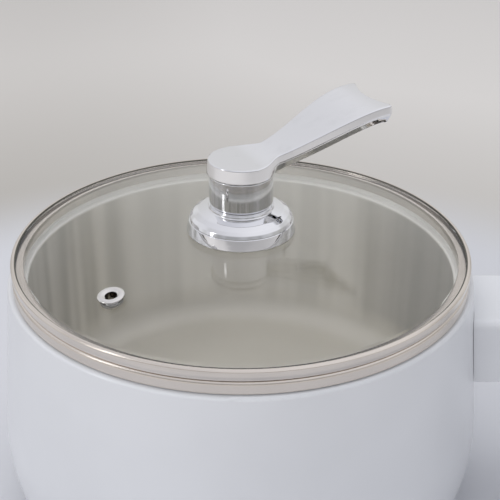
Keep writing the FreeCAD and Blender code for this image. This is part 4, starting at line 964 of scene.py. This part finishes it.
def bars_tree():
    """Geometry Nodes: round bars set at equal turns about the dial's axis, clockwise from the top."""
    tree = bpy.data.node_groups.new("bars_round_dial", "GeometryNodeTree")
    kinds = {"Count": "Int", "Sides": "Int", "Circle": "Float", "First Turn": "Float",
             "Step Turn": "Float", "Lean": "Float", "Bar Radius": "Float", "Bar Length": "Float",
             "Bar Shape": "Vector", "Centre": "Vector", "Finish": "Material"}
    for name, kind in kinds.items():
        tree.interface.new_socket(name, in_out="INPUT", socket_type="NodeSocket" + kind)
    tree.interface.new_socket("Geometry", in_out="OUTPUT", socket_type="NodeSocketGeometry")
    bench = Bench(tree)
    sizes = {name: bench.node("NodeGroupInput", {}, output=name) for name in kinds}
    turn = sizes["First Turn"] + bench.node("GeometryNodeInputIndex", {}) * sizes["Step Turn"]
    place = bench.vector(turn.sine() * sizes["Circle"], 0.0, turn.cosine() * sizes["Circle"])
    points = bench.node("GeometryNodePoints", {}, named={
        "Count": sizes["Count"], "Position": place})
    bar = bench.node("GeometryNodeMeshCylinder", {}, named={
        "Vertices": sizes["Sides"], "Radius": sizes["Bar Radius"], "Depth": sizes["Bar Length"]})
    bars = bench.node("GeometryNodeInstanceOnPoints", {}, named={
        "Points": points, "Instance": bar, "Rotation": bench.vector(sizes["Lean"], turn, 0.0),
        "Scale": sizes["Bar Shape"]})
    moved = bench.node("GeometryNodeTransform", {}, named={
        "Geometry": bars, "Translation": sizes["Centre"]})
    solid = bench.node("GeometryNodeRealizeInstances", {}, moved)
    dressed = bench.node("GeometryNodeSetMaterial", {}, named={
        "Geometry": solid, "Material": sizes["Finish"]})
    bench.node("NodeGroupOutput", {}, named={"Geometry": dressed})
    return tree


def grown(name, tree, sizes, body, slot):
    """A piece made by a tree with its own sizes, turned into a plain mesh."""
    piece = put_in_scene(name, bpy.data.meshes.new(name))
    modifier = piece.modifiers.new("grow", "NODES")
    modifier.node_group = tree
    sizes = dict(sizes, Finish=SLOT_FINISHES[slot].material)
    for socket in tree.interface.items_tree:
        if socket.name in sizes:
            modifier[socket.identifier] = sizes[socket.name]
    mesh = evaluated_mesh(piece)
    piece.modifiers.clear()
    piece.data = mesh
    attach(piece, body)
    return dress(piece, slot)


def numeral(figure, turn):
    """Mesh of one figure, upright on the bezel's face at a turn from the top."""
    letters = bpy.data.curves.new("numeral", "FONT")
    letters.body = figure
    letters.size = NUMERAL_SIZE
    letters.extrude = NUMERAL_RELIEF
    letters.align_x = "CENTER"
    letters.align_y = "CENTER"
    holder = put_in_scene("numeral", letters)
    shape = evaluated_mesh(holder)
    bpy.data.objects.remove(holder)
    place = Vector((SCALE_CIRCLE * math.sin(turn), BEZEL_FACE - NUMERAL_LIFT,
                    DIAL_HEIGHT + SCALE_CIRCLE * math.cos(turn)))
    shape.transform(Matrix.Translation(place) @ Matrix.Rotation(math.pi / 2.0, 4, "X"))
    return shape


def make_dial_trim():
    """Grip ribs round the dial's skirt, its pointer, and the scale on the bezel."""
    tree = bars_tree()
    grown("dial_ribs", tree, {
        "Count": 24, "Sides": 14, "Circle": 18.75 * MM, "First Turn": math.radians(7.5),
        "Step Turn": math.radians(15.0), "Lean": math.pi / 2.0, "Bar Radius": 0.75 * MM,
        "Bar Length": 3.3 * MM, "Bar Shape": (1.0, 1.0, 1.0),
        "Centre": (0.0, BEZEL_FACE - 2.8 * MM, DIAL_HEIGHT)}, "dial", "white_gloss")
    grown("dial_pointer", tree, {
        "Count": 1, "Sides": 20, "Circle": 10.0 * MM, "First Turn": 0.0, "Step Turn": 0.0,
        "Lean": 0.0, "Bar Radius": 0.8 * MM, "Bar Length": 9.0 * MM, "Bar Shape": (1.0, 0.22, 1.0),
        "Centre": (0.0, DIAL_FRONT, DIAL_HEIGHT)}, "dial", "black_matte")
    grown("scale_marks", tree, {
        "Count": 9, "Sides": 12, "Circle": 20.6 * MM, "First Turn": math.radians(15.0),
        "Step Turn": math.radians(15.0), "Lean": 0.0, "Bar Radius": 0.34 * MM,
        "Bar Length": 1.6 * MM, "Bar Shape": (1.0, 0.30, 1.0),
        "Centre": (0.0, BEZEL_FACE, DIAL_HEIGHT)}, "pot", "black_matte")
    numerals = bmesh.new()
    for figure, degrees in (("0", -15.0), ("1", 45.0), ("2", 90.0), ("3", 135.0)):
        numerals.from_mesh(numeral(figure, math.radians(degrees)))
    bmesh.ops.remove_doubles(numerals, verts=numerals.verts, dist=TINY * 10.0)
    as_piece("scale_numbers", numerals, "pot", "black_matte")


# Room

def make_floor():
    """Pale floor with painted light and shade: a cool white pool round the part that falls off to a
    warmer grey behind.
    """
    maker = bmesh.new()
    bmesh.ops.create_grid(maker, x_segments=8, y_segments=8, size=FLOOR_REACH)
    mesh = bpy.data.meshes.new("floor")
    maker.to_mesh(mesh)
    maker.free()
    mesh.transform(Matrix.Translation((0.0, 0.0, -FLOOR_DROP)))
    floor = put_in_scene("floor", mesh)
    finish = Finish("floor_paint")
    drift = finish.noise(finish.place(), 2.0, 2.0)
    reach = finish.radius()
    # Painted shade: darker near the part, to the left and behind, paler farther out
    lift = reach.between(0.30, 0.75) * 0.70 + finish.axis("X").between(-0.25, 0.15) * 0.40
    lift = lift + finish.axis("Y").between(0.20, -0.20) * 0.60
    behind = finish.tint(FLOOR_SHADE, FLOOR_BEHIND, lift + drift * 0.1)
    finish.surface({
        "Base Color": finish.mix(tone(FLOOR_LIGHT_POOL), behind, reach.between(*LIGHT_POOL_EDGE)),
        "Roughness": drift * 0.1 + 0.70,
        "Specular IOR Level": 0.2,
    })
    mesh.materials.append(finish.material)


def soft_lamp(name, place, width, height, power, colour=(1.0, 1.0, 1.0)):
    """Rectangular lamp that faces the middle of the part."""
    lamp = bpy.data.lights.new(name, "AREA")
    lamp.shape = "RECTANGLE"
    lamp.size = width
    lamp.size_y = height
    lamp.energy = power
    lamp.color = colour
    holder = put_in_scene(name, lamp)
    holder.location = place
    holder.rotation_euler = (LAMP_AIM - Vector(place)).to_track_quat("-Z", "Y").to_euler()
    return holder


def light_room():
    """Large soft lamps that polished surfaces don't show, and one narrow strip that they do."""
    unseen = [
        soft_lamp("sky_panel", (-0.2, 0.3, 1.5), 1.6, 1.2, 11.0),
        soft_lamp("right_panel", (1.4, 0.4, 0.8), 0.6, 1.0, 2.0, (0.90, 0.94, 1.0)),
        soft_lamp("left_panel", (-1.3, -0.5, 0.7), 0.7, 1.0, 1.3),
        soft_lamp("front_panel", (-0.45, -1.6, 0.8), 1.4, 0.9, 8.0),
    ]
    for lamp in unseen:
        lamp.visible_glossy = False
        lamp.visible_transmission = False
    soft_lamp("strip_panel", (-1.3, -0.6, 0.75), 0.24, 0.9, 1.5)


def paint_surround():
    """Pale walls in soft bands, darker in front and paler behind the part, and a brighter ceiling."""
    world = bpy.data.worlds.new("surround")
    bpy.context.scene.world = world
    world.use_nodes = True
    room = Bench(world.node_tree)
    room.axes["place"] = room.node("ShaderNodeTexCoord", {}, output="Generated")
    up = room.axis("Z")
    bands = room.noise(room.vector(room.axis("X"), room.axis("Y"), up * 0.25), 2.2, 1.0)
    walls = room.tint(ROOM_SHADE, ROOM_PALE, bands.between(0.38, 0.62))
    walls = room.mix(walls, tone(ROOM_FRONT), room.axis("Y").between(-0.1, -0.9) * 0.75)
    walls = room.mix(walls, tone(ROOM_BACK), room.axis("Y").between(0.15, 0.95) * 0.42)
    above = room.tint(CEILING_LEFT, CEILING_RIGHT, room.axis("X").between(-0.6, 0.6))
    ceiling = room.mix(walls, above, up.between(0.05, 0.95))
    seen = room.ray("Is Camera Ray") + room.ray("Is Glossy Ray") + room.ray("Is Transmission Ray")
    shown = room.mix(tone(ROOM_FILL), ceiling, seen)
    room.feed(world.node_tree.nodes["Background"].inputs["Color"], shown)


def place_camera():
    """Camera of the photo: it looks down at the lid from the front."""
    camera = bpy.data.cameras.new("photo_camera")
    camera.lens = CAMERA_LENS
    camera.sensor_width = 36.0
    camera.clip_start = 0.01
    holder = put_in_scene("photo_camera", camera)
    holder.matrix_world = (Matrix.Translation(CAMERA_PLACE) @ Matrix.Rotation(CAMERA_TILT, 4, "X")
                           @ Matrix.Rotation(CAMERA_ROLL, 4, "Z"))
    bpy.context.scene.camera = holder


place_camera()
light_room()
paint_surround()
make_floor()
dress_nodes()
make_pot()
make_lid_ring()
make_lever()
make_collar()
make_post()
make_eyelet()
make_eyelet_washer()
make_dial_trim()
bpy.context.scene.view_settings.view_transform = "Standard"
